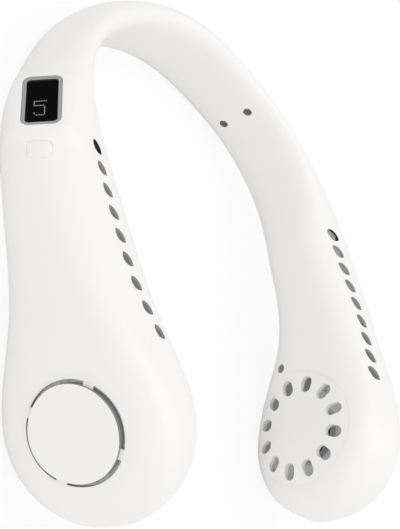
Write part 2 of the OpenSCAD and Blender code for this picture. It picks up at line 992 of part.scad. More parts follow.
module rotor_cup() {
    color("silver")
    on_fan() {
        translate([0, 0, cup_start])
        tube(rotor_d, rotor_d - 2 * cup_wall, cup_end - cup_start);
        translate([0, 0, cup_end - cup_wall])
        tube(rotor_d - cup_wall, shaft_d + running_gap, cup_wall);
    }
}

module magnet_ring() {
    color("dimgray")
    on_fan()
    translate([0, 0, cup_start + fit_gap])
    tube(magnet_d, magnet_d - 2 * magnet_thickness, stator_end - cup_start);
}

// A thin blade, curved forward: the piece of a ring between two circles round the fan's axis
blade_foot_d = 29;
blade_bend_share = 0.3;
blade_lean = 24;

module blade() {
    foot = blade_foot_d / 2;
    tip = impeller_d / 2 - impeller_ring / 2;
    bend = (tip - foot) * blade_bend_share;
    steps = 6;
    middle = [for (i = [0:steps]) [
        foot + (tip - foot) * i / steps,
        bend * sin(180 * i / steps)
    ]];
    translate([0, 0, impeller_start])
    linear_extrude(impeller_width)
    translate([foot, 0])
    rotate([0, 0, blade_lean])
    translate([-foot, 0])
    polygon(concat(
        [for (p = middle) [p[0], p[1] - blade_thickness / 2]],
        [for (i = [steps:-1:0]) [middle[i][0], middle[i][1] + blade_thickness / 2]]
    ));
}

module impeller() {
    color("whitesmoke")
    on_fan() {
        difference() {
            union() {
                between(impeller_start, cup_end + hub_wall, rotor_d + 2 * hub_wall);
                between(cup_end, cup_end + hub_wall, impeller_d - impeller_ring);
            }
            between(impeller_start - overrun, cup_end, rotor_d + 2 * running_gap);
        }
        for (start = [impeller_start, impeller_end - impeller_ring])
            translate([0, 0, start])
            tube(impeller_d, impeller_d - 2 * impeller_ring, impeller_ring);
        for (i = [0:blade_count - 1])
            rotate([0, 0, 360 * i / blade_count])
            blade();
    }
}

// The scroll: a wall round the impeller that widens towards the duct in the arm
scroll_wall = 1.2;
scroll_gap = 0.8;
scroll_growth_share = 0.093;
scroll_start = -6.4;
scroll_end = 9.2;
scroll_turn = 285;
scroll_tongue = -18;
scroll_steps = 28;

module fan_scroll() {
    inner = impeller_d / 2 + scroll_gap;
    function spiral(i, extra) =
        let (
            r = inner + extra + pod_radius * scroll_growth_share * i / scroll_steps,
            turn = scroll_tongue - scroll_turn * i / scroll_steps
        )
        [r * cos(turn), r * sin(turn)];
    color("whitesmoke")
    on_fan()
    translate([0, 0, scroll_start])
    linear_extrude(scroll_end - scroll_start)
    polygon(concat(
        [for (i = [0:scroll_steps]) spiral(i, 0)],
        [for (i = [scroll_steps:-1:0]) spiral(i, scroll_wall)]
    ));
}

// The floor of the air duct, over the battery, and its wall beside the boards
floor_thickness = 1.2;
floor_lip = 2.4;
cell_up = -4;
cell_clearance = 0.8;
floor_up = cell_up + cell_d / 2 + cell_clearance;
duct_out_shares = [[0.565, 0.1], [0.6, 0.17], [0.634, 0.24], [0.67, 1]];

module duct_floor() {
    gap = wall + 2 * fit_gap;
    top = floor_up + floor_thickness;
    color("whitesmoke")
    bar([for (share = duct_shares)
        let (
            neck = -neck_out(share, top, gap),
            outer = min(half_thickness(share) * lookup(share, duct_out_shares),
                outer_out(share, top + floor_lip, gap)),
            part = outer / (half_thickness(share) - gap),
            power = outer_power_at(share),
            lip = (half_height(share) - gap) * pow(1 - pow(part, power), 1 / power) - fit_gap
        )
        [place_at(share, neck, floor_up), place_at(share, outer, floor_up), place_at(share, outer, lip),
            place_at(share, outer - floor_thickness, lip), place_at(share, outer - floor_thickness, top),
            place_at(share, neck, top)]
    ]);
}

// The battery cell, under the duct
cell_button_d = 5.5;
cell_button_height = 1;

module battery_cell() {
    middle_share = cell_start_share + cell_length / 2 / run_length;
    half_share = cell_length / 2 / run_length;
    rise = place_at(middle_share + half_share, 0, cell_up) - place_at(middle_share - half_share, 0, cell_up);
    color("royalblue")
    at_section(middle_share, 0, cell_up)
    rotate([90 - asin(rise[2] / norm(rise)), 0, 0]) {
        between(-cell_length / 2, cell_length / 2, cell_d);
        between(cell_length / 2 - overrun, cell_length / 2 + cell_button_height, cell_button_d);
    }
}

// Leads: each route is a list of [share, out, up], and the lead runs straight between them
harness_d = 3.2;
motor_lead_d = 2;
lead_sides = 8;
harness_step_share = 0.026;
lead_step_share = 0.016;
harness_route = [[-0.5183, 6.3, 0], [-0.47, 4.4, 0], [-0.42, 2.6, 0], [-0.36, 1.9, 0], [-0.28, 1.9, 0],
    [-0.2, 2.3, 0], [0.2, 2.3, 0], [0.28, 1.9, 0], [0.36, 1.9, 0], [0.42, 2.6, -1], [0.5, 5.6, -3],
    [0.56, 8, -4], [0.6285, 10.7, -3]];
lead_route = [[0.629, 10.7, -3], [0.645, 11.6, -3], [0.72, 12, -3], [0.808, 11.6, -3], [0.822, 7, -3],
    [0.848, -7, -3], [0.87, -10.9, -2], [0.9, -11.8, -1], [0.936, -12, 0]];

module lead(route, d, step) {
    first = route[0][0];
    last = route[len(route) - 1][0];
    count = ceil((last - first) / step);
    outs = [for (p = route) [p[0], p[1]]];
    ups = [for (p = route) [p[0], p[2]]];
    bar([for (i = [0:count])
        let (share = first + (last - first) * i / count, out = lookup(share, outs), up = lookup(share, ups))
        [for (j = [0:lead_sides - 1])
            let (turn = 360 * j / lead_sides)
            place_at(share, out + d / 2 * cos(turn), up + d / 2 * sin(turn))]
    ]);
}

module band_harness() {
    color("black")
    lead(harness_route, harness_d, harness_step_share);
}

module motor_lead() {
    color("red")
    lead(lead_route, motor_lead_d, lead_step_share);
}

module band_screws() {
    color("silver")
    band_screw_places()
    screw(band_line);
}

module pod_screws() {
    color("silver") {
        pod_screw_place()
        screw(pod_line);
        on_right()
        pod_screw_place()
        screw(pod_line);
    }
}

// The two sides' pieces

module left_impeller() {
    impeller();
}

module right_impeller() {
    on_right()
    impeller();
}

module left_rotor_cup() {
    rotor_cup();
}

module right_rotor_cup() {
    on_right()
    rotor_cup();
}

module left_magnet_ring() {
    magnet_ring();
}

module right_magnet_ring() {
    on_right()
    magnet_ring();
}

module left_motor_shaft() {
    motor_shaft();
}

module right_motor_shaft() {
    on_right()
    motor_shaft();
}

module left_bearings() {
    bearings();
}

module right_bearings() {
    on_right()
    bearings();
}

module left_stator() {
    stator();
}

module right_stator() {
    on_right()
    stator();
}

module left_motor_seat() {
    motor_seat();
}

module right_motor_seat() {
    on_right()
    motor_seat();
}

module left_motor_board() {
    motor_board();
}

module right_motor_board() {
    on_right()
    motor_board();
}

module left_fan_scroll() {
    fan_scroll();
}

module right_fan_scroll() {
    on_right()
    fan_scroll();
}

module left_duct_floor() {
    duct_floor();
}

module right_duct_floor() {
    on_right()
    duct_floor();
}

module left_battery_cell() {
    battery_cell();
}

module right_battery_cell() {
    on_right()
    battery_cell();
}

module left_motor_lead() {
    motor_lead();
}

module right_motor_lead() {
    on_right()
    motor_lead();
}

right_outer_shell();
left_outer_shell();
right_inner_shell();
left_inner_shell();
band_outer_shell();
band_inner_shell();
right_grille();
left_grille();
display_bezel();
display_glass();
display_module();
power_button();
switch_plunger();
power_switch();
main_board();
charging_socket();
right_impeller();
left_impeller();
right_rotor_cup();
left_rotor_cup();
right_magnet_ring();
left_magnet_ring();
right_motor_shaft();
left_motor_shaft();
right_bearings();
left_bearings();
right_stator();
left_stator();
right_motor_seat();
left_motor_seat();
right_motor_board();
left_motor_board();
right_fan_scroll();
left_fan_scroll();
right_duct_floor();
left_duct_floor();
right_battery_cell();
left_battery_cell();
band_harness();
right_motor_lead();
left_motor_lead();
band_screws();
pod_screws();
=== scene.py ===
import math
from collections import namedtuple

import bmesh
import bpy
import numpy as np
from mathutils import Matrix, Vector
from mathutils.bvhtree import BVHTree


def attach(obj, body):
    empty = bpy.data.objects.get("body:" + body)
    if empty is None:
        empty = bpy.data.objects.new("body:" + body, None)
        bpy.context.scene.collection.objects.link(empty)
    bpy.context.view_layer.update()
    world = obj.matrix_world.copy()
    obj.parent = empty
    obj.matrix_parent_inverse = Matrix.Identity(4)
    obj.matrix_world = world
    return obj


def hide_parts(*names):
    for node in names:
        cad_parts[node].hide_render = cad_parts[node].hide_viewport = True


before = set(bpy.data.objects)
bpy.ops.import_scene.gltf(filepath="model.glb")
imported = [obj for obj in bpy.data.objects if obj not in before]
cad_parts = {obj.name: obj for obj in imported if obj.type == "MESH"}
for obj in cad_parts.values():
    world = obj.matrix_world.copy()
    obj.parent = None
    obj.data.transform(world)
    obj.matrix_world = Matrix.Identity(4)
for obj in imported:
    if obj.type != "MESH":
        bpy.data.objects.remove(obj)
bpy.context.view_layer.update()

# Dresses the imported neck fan, a U with a fan pod at the end of each arm. The six shells, the two intake covers
# and the display frame are made again as fine meshes in place of their CAD nodes, and the display's digit is
# added. All other nodes keep their meshes and get their materials here.
scene = bpy.context.scene
MM = 0.001

# Camera

# The photograph's frame is 400 x 529. Up and back are the camera's own axes.
IMAGE_HEIGHT_PX = 529
FOCAL_PX = 1213.82
SENSOR = 36.0
CAMERA_AT = (-0.35067, -0.11365, 0.25157)
CAMERA_UP, CAMERA_BACK = (-0.15914, 0.96265, 0.21903), (-0.80995, -0.25416, 0.52857)

camera_data = bpy.data.cameras.new("camera")
camera_data.sensor_fit = "VERTICAL"
camera_data.sensor_height = SENSOR
camera_data.lens = FOCAL_PX * SENSOR / IMAGE_HEIGHT_PX
camera_data.clip_start = 0.01
camera_data.clip_end = 20
camera = bpy.data.objects.new("camera", camera_data)
back = Vector(CAMERA_BACK).normalized()
up = Vector(CAMERA_UP)
up = (up - back * up.dot(back)).normalized()
right = up.cross(back)
camera.matrix_world = Matrix.Translation(CAMERA_AT) @ Matrix((right, up, back)).transposed().to_4x4()
scene.collection.objects.link(camera)
scene.camera = camera

# Sizes in mm, angles in degrees

# A share is a place along the fan: 0 is the middle of the band, 1 the middle of the left pod and -1 of the
# right one. Up is from the section's middle. The sizes are the source's, but for those said to be the scene's.
ARM_SPACING, BOW_REACH, ARM_LENGTH, POD_TURN_IN, POD_REACH = 160, 77.4, 75.2, 11.4, 31.1

# The section's height, thickness, rise off the table and lean, at even steps of share from 0 to 1
HEIGHTS = (31.5, 30.9, 30.1, 29.5, 36.3, 56.1)
THICKNESSES = (13.3, 13, 13, 35.6, 35.9, 34.8)
RISES = (0, 0, 4.3, 10.6, 11.8, 0)
LEANS = (2.4, 2.1, -0.6, 3.4, -2.4, 9)
REST_CUT, WALL = 0.4, 1.8
TIP_REACH = 0.986  # the part of the pod's reach that the whole fan's length takes in

# Powers of the rounded outlines: the bow in plan, the section's neck half, the pod's front, and the section's
# outer half on the arm and on the pod
BOW_POWER, NECK_POWER, TIP_POWER = 2.08, 2.75, 0.8
ARM_POWER, POD_POWER, POD_POWER_FROM = 2.02, 4.4, 0.6

# Where the band meets the arms, and the section's angle where outer and inner shells meet
BAND_END, SPLIT = 0.32, 62

# Screws: the band's two a side, each pod's one, their bosses and their sunk holes
BAND_SCREW, BAND_SCREW_TURN, BAND_SCREW_UP = 0.271, 8, 6.4
POD_SCREW, POD_SCREW_DROP = 0.869, 0.54
BOSS_D, PILOT_D, BORE_D, HEAD_BORE_D, SEAT_THICKNESS, SEAT_SHARE = 5.4, 1.8, 2.1, 3.5, 1, 0.35

# Display, button, board and charging socket. The blend, how far the skin eases back from the flat display along
# and across the arm, and the depth that this reaches are the scene's
DISPLAY, DISPLAY_UP, DISPLAY_TURN = 0.535, 7.3, -15
DISPLAY_SIZE, DISPLAY_ROUND, DISPLAY_BLEND, DRAWN_DEPTH = (21.7, 12.2), 2.6, (4.8, 7.5), 11
BUTTON, BUTTON_UP, BUTTON_TURN, BUTTON_SIZE, BUTTON_ROUND = 0.6135, 7.1, -4, (5.7, 7.6), 1.6
BOARD, BOARD_UP, BOARD_DEPTH, BOARD_THICKNESS = 0.57, 5, 8.5, 1
SOCKET_AHEAD, SOCKET_DROP, SOCKET_HOLE, SOCKET_ROUND = 6, 11.6, (9.2, 3.5), 1.6

# Air outlets: their shares, how far they lie in towards the neck, as a part of half the thickness, and the
# skin's thickness round them. The leaves' length, width and slant and the hollows round them are the scene's
VENTS, VENT_IN, VENT_LIP = np.linspace(0.589, 0.893, 9), 0.213, 0.6
VENT_LEAF = {"right": (5.5, 3.6, -30), "left": (7.5, 4.7, 59)}
SCOOP_DEPTH, SCOOP_RADIUS, SCOOP_ABOVE = 0.4, 11, 0.5

# The outer intake's ring-shaped slot with its bridges, and the proud disc inside it
SLOT_D, SLOT_WIDTH, SLOT_TOP, DISC_RISE = 31.6, 1.2, 22, 1.2
BRIDGES, BRIDGE, BRIDGE_TURN = 4, 3.4, 34
DISC_FROM, DISC_TIP, DISC_ANGLE = 0.8, 0.8, 32

# The inner intake's cover, with its skirt and the motor seat's post. The holes' sizes are the scene's
GRILLE_D, GRILLE_FROM = 44.4, 0.78
HOLES, HOLE_CIRCLE, HOLE_LENGTH, HOLE_WIDTH = 12, 33.8, 6.3, 4.6
SKIRT_DEPTH, SKIRT_WALL, POST_D, POST_HEIGHT = 2.5, 1, 12, 1.6

# The source's fit and the scene's narrower seam, how far cutters run over, a radius that is nearly none, and
# the step of share that slopes are taken over
FIT_GAP, SEAM, OVER, TINY, NUDGE = 0.15, 0.04, 1.0, 1e-4, 0.004
GUARD = 1e-12  # keeps a quotient from zero

# How finely the skins are divided: bow in plan, arm, band, pod's front, and round the section
BOW_STEPS, ARM_STEPS, BAND_STEPS, TIP_STEPS = 60, 124, 118, 26
ARM_SKIN_STEPS, BAND_SKIN_STEPS = 126, 130
OUTER_STEPS, NECK_STEPS, DISC_STEPS, WHOLE_STEPS = 56, 76, 40, 150
# And round forms: large ones, screw holes, pilot holes, dots, scoops and corners, then arcs and profiles
ROUND_STEPS, BORE_STEPS, PILOT_STEPS, DOT_STEPS = 128, 64, 32, 16
SCOOP_TURNS, CORNER_STEPS, HOLE_STEPS = 56, 10, 16
ARC_POINTS, LEAF_POINTS, SCOOP_POINTS = 30, 14, 14

# The bend, in degrees, from which an edge is sharp: on the shells, on the display's frame and on the CAD nodes
SHELL_SHARP, FRAME_SHARP, NODE_SHARP = 32, 50, 35


# The fan's shape

def run_along(points):
    """The length run from the first point to each of them."""
    return np.concatenate([[0], np.cumsum(np.linalg.norm(np.diff(points, axis=0), axis=1))])


def bow_point(turn):
    """A point of the bow, by the turn from the band's middle."""
    s, c = np.sin(np.radians(turn)), np.cos(np.radians(turn))
    size = (np.abs(s) / (ARM_SPACING / 2)) ** BOW_POWER + (np.abs(c) / BOW_REACH) ** BOW_POWER
    return np.stack([s, c], -1) / size[..., None] ** (1 / BOW_POWER)


bow_turns = np.linspace(0, 90, BOW_STEPS + 1)
bow_runs = run_along(bow_point(bow_turns))
BOW_LENGTH = bow_runs[-1]
RUN_LENGTH = BOW_LENGTH + ARM_LENGTH
PLAN_SHIFT = (ARM_LENGTH + POD_REACH * TIP_REACH - BOW_REACH - THICKNESSES[0] / 2) / 2


def plan_point(share):
    """The centreline in plan: half the bow, then the arm, which turns in towards the pod."""
    share = np.asarray(share, float)
    run = np.abs(share) * RUN_LENGTH
    bow = bow_point(np.interp(run, bow_runs, bow_turns))
    ahead = run - BOW_LENGTH
    arm = np.stack([ARM_SPACING / 2 - POD_TURN_IN * (ahead / ARM_LENGTH) ** 2, -ahead], -1)
    point = np.where((run < BOW_LENGTH)[..., None], bow, arm) + np.array([0, PLAN_SHIFT])
    point[..., 0] *= np.where(share < 0, -1, 1)
    return point


def plan_direction(share):
    """The way ahead along the centreline, from the right arm over the band to the left arm."""
    step = plan_point(np.minimum(share + NUDGE, 1)) - plan_point(np.maximum(share - NUDGE, -1))
    return step / np.linalg.norm(step, axis=-1, keepdims=True)


def smooth_at(values, share):
    """A smooth curve through values at even steps of share, level at both ends."""
    values = np.asarray(values, float)
    last = len(values) - 1
    place = np.minimum(np.abs(share), 1) * last
    i = np.minimum(np.floor(place).astype(int), last - 1)
    t = place - i
    before, after = values[np.maximum(i - 1, 0)], values[np.minimum(i + 2, last)]
    slope_a = np.where(i > 0, (values[i + 1] - before) / 2, 0)
    slope_b = np.where(i < last - 1, (after - values[i]) / 2, 0)
    return ((2 * t ** 3 - 3 * t * t + 1) * values[i] + (t ** 3 - 2 * t * t + t) * slope_a
            + (3 * t * t - 2 * t ** 3) * values[i + 1] + (t ** 3 - t * t) * slope_b)


def half_height(share):
    return smooth_at(HEIGHTS, share) / 2


def half_thickness(share):
    return smooth_at(THICKNESSES, share) / 2


def lean_at(share):
    return smooth_at(LEANS, share)


def outer_power(share):
    """The power of the section's outer half, which grows from the arm's to the pod's."""
    t = np.maximum(np.minimum(np.abs(share), 1) - POD_POWER_FROM, 0) / (1 - POD_POWER_FROM)
    return ARM_POWER + (POD_POWER - ARM_POWER) * t * t * (3 - 2 * t)


def axes_at(share):
    """Centre and the section's axes: out of the U, up, and ahead along the centreline."""
    share = np.asarray(share, float)
    p, d, lean = plan_point(share), plan_direction(share), np.radians(lean_at(share))
    centre = np.concatenate([p, (smooth_at(RISES, share) + half_height(share) - REST_CUT)[..., None]], -1)
    out = np.stack([-d[..., 1] * np.cos(lean), d[..., 0] * np.cos(lean), np.sin(lean)], -1)
    rise = np.stack([d[..., 1] * np.sin(lean), -d[..., 0] * np.sin(lean), np.cos(lean)], -1)
    ahead = np.concatenate([d, np.zeros(d.shape[:-1] + (1,))], -1)
    return centre, out, rise, ahead


def signed_power(value, power):
    return np.sign(value) * np.abs(value) ** power


def unit_section(angles, outer):
    """The section's outline for half sizes of 1. Its outer half has the power given."""
    a = np.radians(angles)
    power = np.where(np.cos(a) > GUARD, 2 / outer, 2 / NECK_POWER)
    return signed_power(np.cos(a), power), signed_power(np.sin(a), power)


def rings(shares, tips, angles, inset):
    """Rows of points on the skin, or on a skin that lies inset from it. A tip goes from 0, where the pod's
    front begins, to 1 at its end."""
    shares, tips = np.asarray(shares, float), np.asarray(tips, float)
    centre, out, rise, ahead = axes_at(shares)
    fall = np.sqrt(np.maximum(1 - tips * tips, 0))
    wide = (half_thickness(shares) - inset) * fall ** TIP_POWER
    high = (half_height(shares) - inset) * fall
    centre = centre + ahead * (tips * (POD_REACH - inset))[:, None]
    x, y = unit_section(angles, outer_power(shares)[:, None])
    p = (centre[:, None] + out[:, None] * (wide[:, None] * x)[..., None]
         + rise[:, None] * (high[:, None] * y)[..., None])
    p[..., 2] = np.maximum(p[..., 2], inset)
    return p


def skin_angle(share, high):
    """The section's angle where the outer half is this high."""
    unit = float(signed_power(high / half_height(share), float(outer_power(share)) / 2))
    return math.degrees(math.asin(unit))


def skin_point(share, angle):
    """A point of the skin by the section's angle: 0 is out of the U and 90 up."""
    return rings([share], [0], [angle], 0)[0, 0]


def skin_normal(share, angle):
    ahead = skin_point(min(share + NUDGE, 1), angle) - skin_point(share - NUDGE, angle)
    n = np.cross(skin_point(share, angle + 1) - skin_point(share, angle - 1), ahead)
    return n / np.linalg.norm(n)


def place_at(share, out_by, up_by):
    """A point by the section's own axes."""
    centre, out, rise, _ = axes_at(share)
    return centre + out * out_by + rise * up_by


def turned(x, y, z):
    """A turn about x, then y, then z."""
    return (Matrix.Rotation(math.radians(z), 4, "Z") @ Matrix.Rotation(math.radians(y), 4, "Y")
            @ Matrix.Rotation(math.radians(x), 4, "X"))


def at_section(share, out_by=0.0, up_by=0.0):
    """A place at the section, with x out of the U, y back along the centreline and z up."""
    d = plan_direction(np.asarray(share, float))
    heading = math.degrees(math.atan2(d[0], -d[1]))
    return Matrix.Translation(place_at(share, out_by, up_by)) @ turned(0, -float(lean_at(share)), heading)


def on_face(share, high, turn=0.0):
    """A place on the outer skin, with z out of it."""
    angle = skin_angle(share, high)
    n = skin_normal(share, angle)
    return (Matrix.Translation(skin_point(share, angle))
            @ turned(0, -math.degrees(math.asin(n[2])), math.degrees(math.atan2(n[1], n[0])))
            @ turned(0, 90, 0) @ turned(0, 0, 90 + turn))


# The fan's place, with z out of the U along its axis
ON_FAN = at_section(1) @ turned(0, 90, 0) @ turned(0, 0, 90)
MIRROR = Matrix.Scale(-1, 4, (1, 0, 0))


# Forms, in mm until they become meshes

CORNERS = ((1, 1), (-1, 1), (-1, -1), (1, -1))


class Form:
    """A mesh to be: points and faces."""

    def __init__(self, points, faces):
        self.points = np.asarray(points, float).reshape(-1, 3)
        self.faces = [tuple(f) for f in faces]

    def moved(self, matrix):
        m = np.array(matrix)
        points = self.points @ m[:3, :3].T + m[:3, 3]
        faces = self.faces if np.linalg.det(m[:3, :3]) > 0 else [f[::-1] for f in self.faces]
        return Form(points, faces)

    def outward(self):
        """The closed form with its faces looking out."""
        volume = 0.0
        for f in self.faces:
            a = self.points[f[0]]
            for b, c in zip(f[1:-1], f[2:]):
                volume += np.dot(a, np.cross(self.points[b], self.points[c]))
        return self if volume > 0 else Form(self.points, [f[::-1] for f in self.faces])


def joined(forms):
    """Several forms as one."""
    points, faces, base = [], [], 0
    for form in forms:
        points.append(form.points)
        faces += [tuple(i + base for i in f) for f in form.faces]
        base += len(form.points)
    return Form(np.concatenate(points), faces)


def prism(outline, low, high):
    """An outline in x and y, drawn out from low to high in z."""
    n = len(outline)
    points = [(x, y, z) for z in (low, high) for x, y in outline]
    faces = [tuple(range(n))[::-1], tuple(range(n, 2 * n))]
    faces += [(i, (i + 1) % n, n + (i + 1) % n, n + i) for i in range(n)]
    return Form(points, faces).outward()


def round_faces(rows, n, spans):
    """Faces between neighbouring rows of n points each, the last row joined to the first."""
    faces = []
    for k in range(rows):
        here, there = k * n, (k + 1) % rows * n
        faces += [(here + i, here + (i + 1) % n, there + (i + 1) % n, there + i) for i in spans]
    return faces


def lathe(profile, steps, closed=False):
    """A profile of (radius, z) turned about z. A closed profile makes a ring; an open one has two flat ends."""
    n, points = len(profile), []
    for k in range(steps):
        a = 2 * math.pi * k / steps
        points += [(r * math.cos(a), r * math.sin(a), z) for r, z in profile]
    faces = round_faces(steps, n, range(n if closed else n - 1))
    if not closed:
        faces += [tuple(k * n for k in range(steps)), tuple(k * n + n - 1 for k in range(steps))[::-1]]
    return Form(points, faces).outward()


def frame_loft(sections):
    """A closed ring through outlines of as many points each, the last joined to the first."""
    points = [(x, y, z) for outline, z in sections for x, y in outline]
    n = len(sections[0][0])
    return Form(points, round_faces(len(sections), n, range(n))).outward()


def cylinder(low, high, d, steps=BORE_STEPS):
    return lathe([(d / 2, low), (d / 2, high)], steps)


def rounded(length, height, radius, steps=CORNER_STEPS):
    """The outline of a rectangle with round corners."""
    points = []
    for k, (cx, cy) in enumerate(CORNERS):
        for i in range(steps + 1):
            a = math.radians(90 * k + 90 * i / steps)
            points.append((cx * (length / 2 - radius) + radius * math.cos(a),
                           cy * (height / 2 - radius) + radius * math.sin(a)))
    return points


def skin_sheet(shares, tips, angles, inset_a, inset_b):
    """A closed sheet between two insets. Where the tips end in 1, the last row is the pod's front point."""
    layers = [rings(shares, tips, angles, inset) for inset in (inset_a, inset_b)]
    rows, across = layers[0].shape[:2]
    pointed = tips[-1] >= 1
    points, grids, base = [], [], 0
    for layer in layers:
        body = layer[:-1] if pointed else layer
        points.append(body.reshape(-1, 3))
        grid = base + np.arange(len(body) * across).reshape(len(body), across)
        base += len(body) * across
        if pointed:
            points.append(layer[-1, :1])
            grid = np.vstack([grid, np.full(across, base)])
            base += 1
        grids.append(grid)
    o, i = grids
    faces = []

    def quad(*corners):
        """Adds a face, without the corners that the front point makes one."""
        face = tuple(dict.fromkeys(int(v) for v in corners))
        if len(face) > 2:
            faces.append(face)

    for m in range(rows - 1):
        for n in range(across - 1):
            quad(o[m, n], o[m, n + 1], o[m + 1, n + 1], o[m + 1, n])
            quad(i[m, n], i[m + 1, n], i[m + 1, n + 1], i[m, n + 1])
        quad(o[m, 0], o[m + 1, 0], i[m + 1, 0], i[m, 0])
        quad(o[m, -1], i[m, -1], i[m + 1, -1], o[m + 1, -1])
    for n in range(across - 1):
        quad(o[0, n], i[0, n], i[0, n + 1], o[0, n + 1])
        if not pointed:
            quad(o[-1, n], o[-1, n + 1], i[-1, n + 1], i[-1, n])
    return Form(np.concatenate(points), faces).outward()


def surface(shares, tips, angles, inset):
    """The open skin alone, which faces out."""
    grid = rings(shares, tips, angles, inset)
    rows, across = grid.shape[:2]
    faces = []
    for m in range(rows - 1):
        corners = 3 if tips[m + 1] >= 1 else 4
        faces += [(m * across + n, m * across + n + 1, (m + 1) * across + n + 1, (m + 1) * across + n)[:corners]
                  for n in range(across - 1)]
    form = Form(grid.reshape(-1, 3), faces)
    # One face amid the skin tells which way they all look
    a, b, c = form.points[list(faces[rows // 3 * (across - 1) + across // 2][:3])]
    if np.dot(np.cross(b - a, c - a), a - axes_at(shares[rows // 3])[0]) < 0:
        form = Form(form.points, [f[::-1] for f in faces])
    return form


def even_angles(start, end, steps):
    """Angles that lie evenly along the section's outline, on the arm and on the pod alike."""
    trial_angles = np.linspace(start, end, 6001)
    trial_wide, trial_high = 14, 18  # half sizes between the arm's and the pod's
    sides = []
    for outer in (ARM_POWER, POD_POWER):
        x, y = unit_section(trial_angles, outer)
        sides += [x * trial_wide, y * trial_high]
    run = run_along(np.stack(sides, -1))
    return np.interp(np.linspace(0, run[-1], steps + 1), run, trial_angles)


def arm_rows(start, steps):
    """Shares from the start to the pod's middle, and tips from there to the pod's front point."""
    tips = [math.sin(math.radians(90 * i / TIP_STEPS)) for i in range(1, TIP_STEPS + 1)]
    return (np.concatenate([np.linspace(start, 1, steps), np.ones(TIP_STEPS)]),
            np.concatenate([np.zeros(steps), tips]))


OUTER_ANGLES = even_angles(-90, SPLIT, OUTER_STEPS)
NECK_ANGLES = even_angles(SPLIT, 270, NECK_STEPS)
ARM_SHARES, ARM_TIPS = arm_rows(BAND_END, ARM_STEPS)
BAND_SHARES, BAND_TIPS = np.linspace(-BAND_END, BAND_END, BAND_STEPS), np.zeros(BAND_STEPS)


# From forms to meshes

def to_object(name, form):
    """Makes an object of a form, in metres."""
    mesh = bpy.data.meshes.new(name)
    mesh.from_pydata((form.points * MM).tolist(), [], form.faces)
    mesh.validate(clean_customdata=False)
    obj = bpy.data.objects.new(name, mesh)
    scene.collection.objects.link(obj)
    return obj


def to_form(obj):
    """Makes an object into a form again, and removes it."""
    form = Form([tuple(v.co / MM) for v in obj.data.vertices], [tuple(f.vertices) for f in obj.data.polygons])
    bpy.data.objects.remove(obj)
    return form


def cut(form, steps, name):
    """Applies boolean steps, each (operation, form), and gives back the finished object."""
    base = to_object(name, form)
    tools = []
    for operation, tool_form in steps:
        tool = to_object(name + "_tool", tool_form)
        tools.append(tool)
        modifier = base.modifiers.new("cut", "BOOLEAN")
        modifier.operation = operation
        modifier.object = tool
        modifier.solver = "MANIFOLD"
    depsgraph = bpy.context.evaluated_depsgraph_get()
    mesh = bpy.data.meshes.new_from_object(base.evaluated_get(depsgraph))
    spent = [base.data] + [tool.data for tool in tools]
    base.modifiers.clear()
    base.data = mesh
    mesh.name = name
    for tool in tools:
        bpy.data.objects.remove(tool)
    for old in spent:
        bpy.data.meshes.remove(old)
    return base


class Skin:
    """An uncut skin, in metres. It gives smooth normals and tells what lies under it."""

    NEAR, ALIGNED = 0.00012, 0.9  # a face this near, with at least this cosine to the normal, lies on it
    SHELL_DEPTH = 0.0012  # the inside of a shell lies deeper than this

    def __init__(self, form):
        self.points, self.faces = form.points * MM, form.faces
        self.tree = BVHTree.FromPolygons(self.points.tolist(), self.faces, epsilon=0)
        self.normals = np.zeros_like(self.points)
        for face in self.faces:
            p = self.points[list(face)]
            across = (p[2] - p[0], p[3] - p[1]) if len(face) > 3 else (p[1] - p[0], p[2] - p[0])
            self.normals[list(face)] += np.cross(*across)
        self.normals /= np.maximum(np.linalg.norm(self.normals, axis=1, keepdims=True), GUARD)

    def side_of(self, polygon):
        """1 or -1 where the polygon lies on the skin and looks out or in, otherwise 0."""
        place, normal, _, _ = self.tree.find_nearest(polygon.center, self.NEAR)
        if place is None or abs(normal.dot(polygon.normal)) < self.ALIGNED:
            return 0
        return 1 if normal.dot(polygon.normal) > 0 else -1

    def normal_at(self, point):
        """The smooth normal at the place nearest to the point, from the corners of its face."""
        place, _, face, _ = self.tree.find_nearest(point)
        corners = list(self.faces[face])
        apart = np.linalg.norm(self.points[corners] - np.array(place), axis=1)
        normal = (self.normals[corners] / np.maximum(apart, GUARD)[:, None] ** 2).sum(0)
        return normal / np.linalg.norm(normal)

    def covers(self, point):
        """Tells whether the point lies well under the skin, as the inside of a shell does."""
        place, normal, _, apart = self.tree.find_nearest(point)
        return apart > self.SHELL_DEPTH and (point - place).dot(normal) < 0


def mark_sharp(mesh, angle):
    """Shades the mesh smooth, apart from the edges that bend by more than the angle."""
    mesh.polygons.foreach_set("use_smooth", [True] * len(mesh.polygons))
    bm = bmesh.new()
    bm.from_mesh(mesh)
    limit = math.cos(math.radians(angle))
    for edge in bm.edges:
        faces = edge.link_faces
        edge.smooth = len(faces) == 2 and faces[0].normal.dot(faces[1].normal) > limit
    bm.to_mesh(mesh)
    bm.free()


def finish_normals(obj, skins):
    """Smooth normals from the uncut skins where a face lies on one, and from its own shape elsewhere."""
    mesh = obj.data
    mark_sharp(mesh, SHELL_SHARP)
    custom = np.zeros((len(mesh.loops), 3))
    known = {}
    for polygon in mesh.polygons:
        for skin in skins:
            side = skin.side_of(polygon)
            if not side:
                continue
            for loop in polygon.loop_indices:
                vertex = mesh.loops[loop].vertex_index
                if (vertex, skin) not in known:
                    known[vertex, skin] = skin.normal_at(mesh.vertices[vertex].co)
                custom[loop] = known[vertex, skin] * side
            break
    mesh.normals_split_custom_set(custom.tolist())


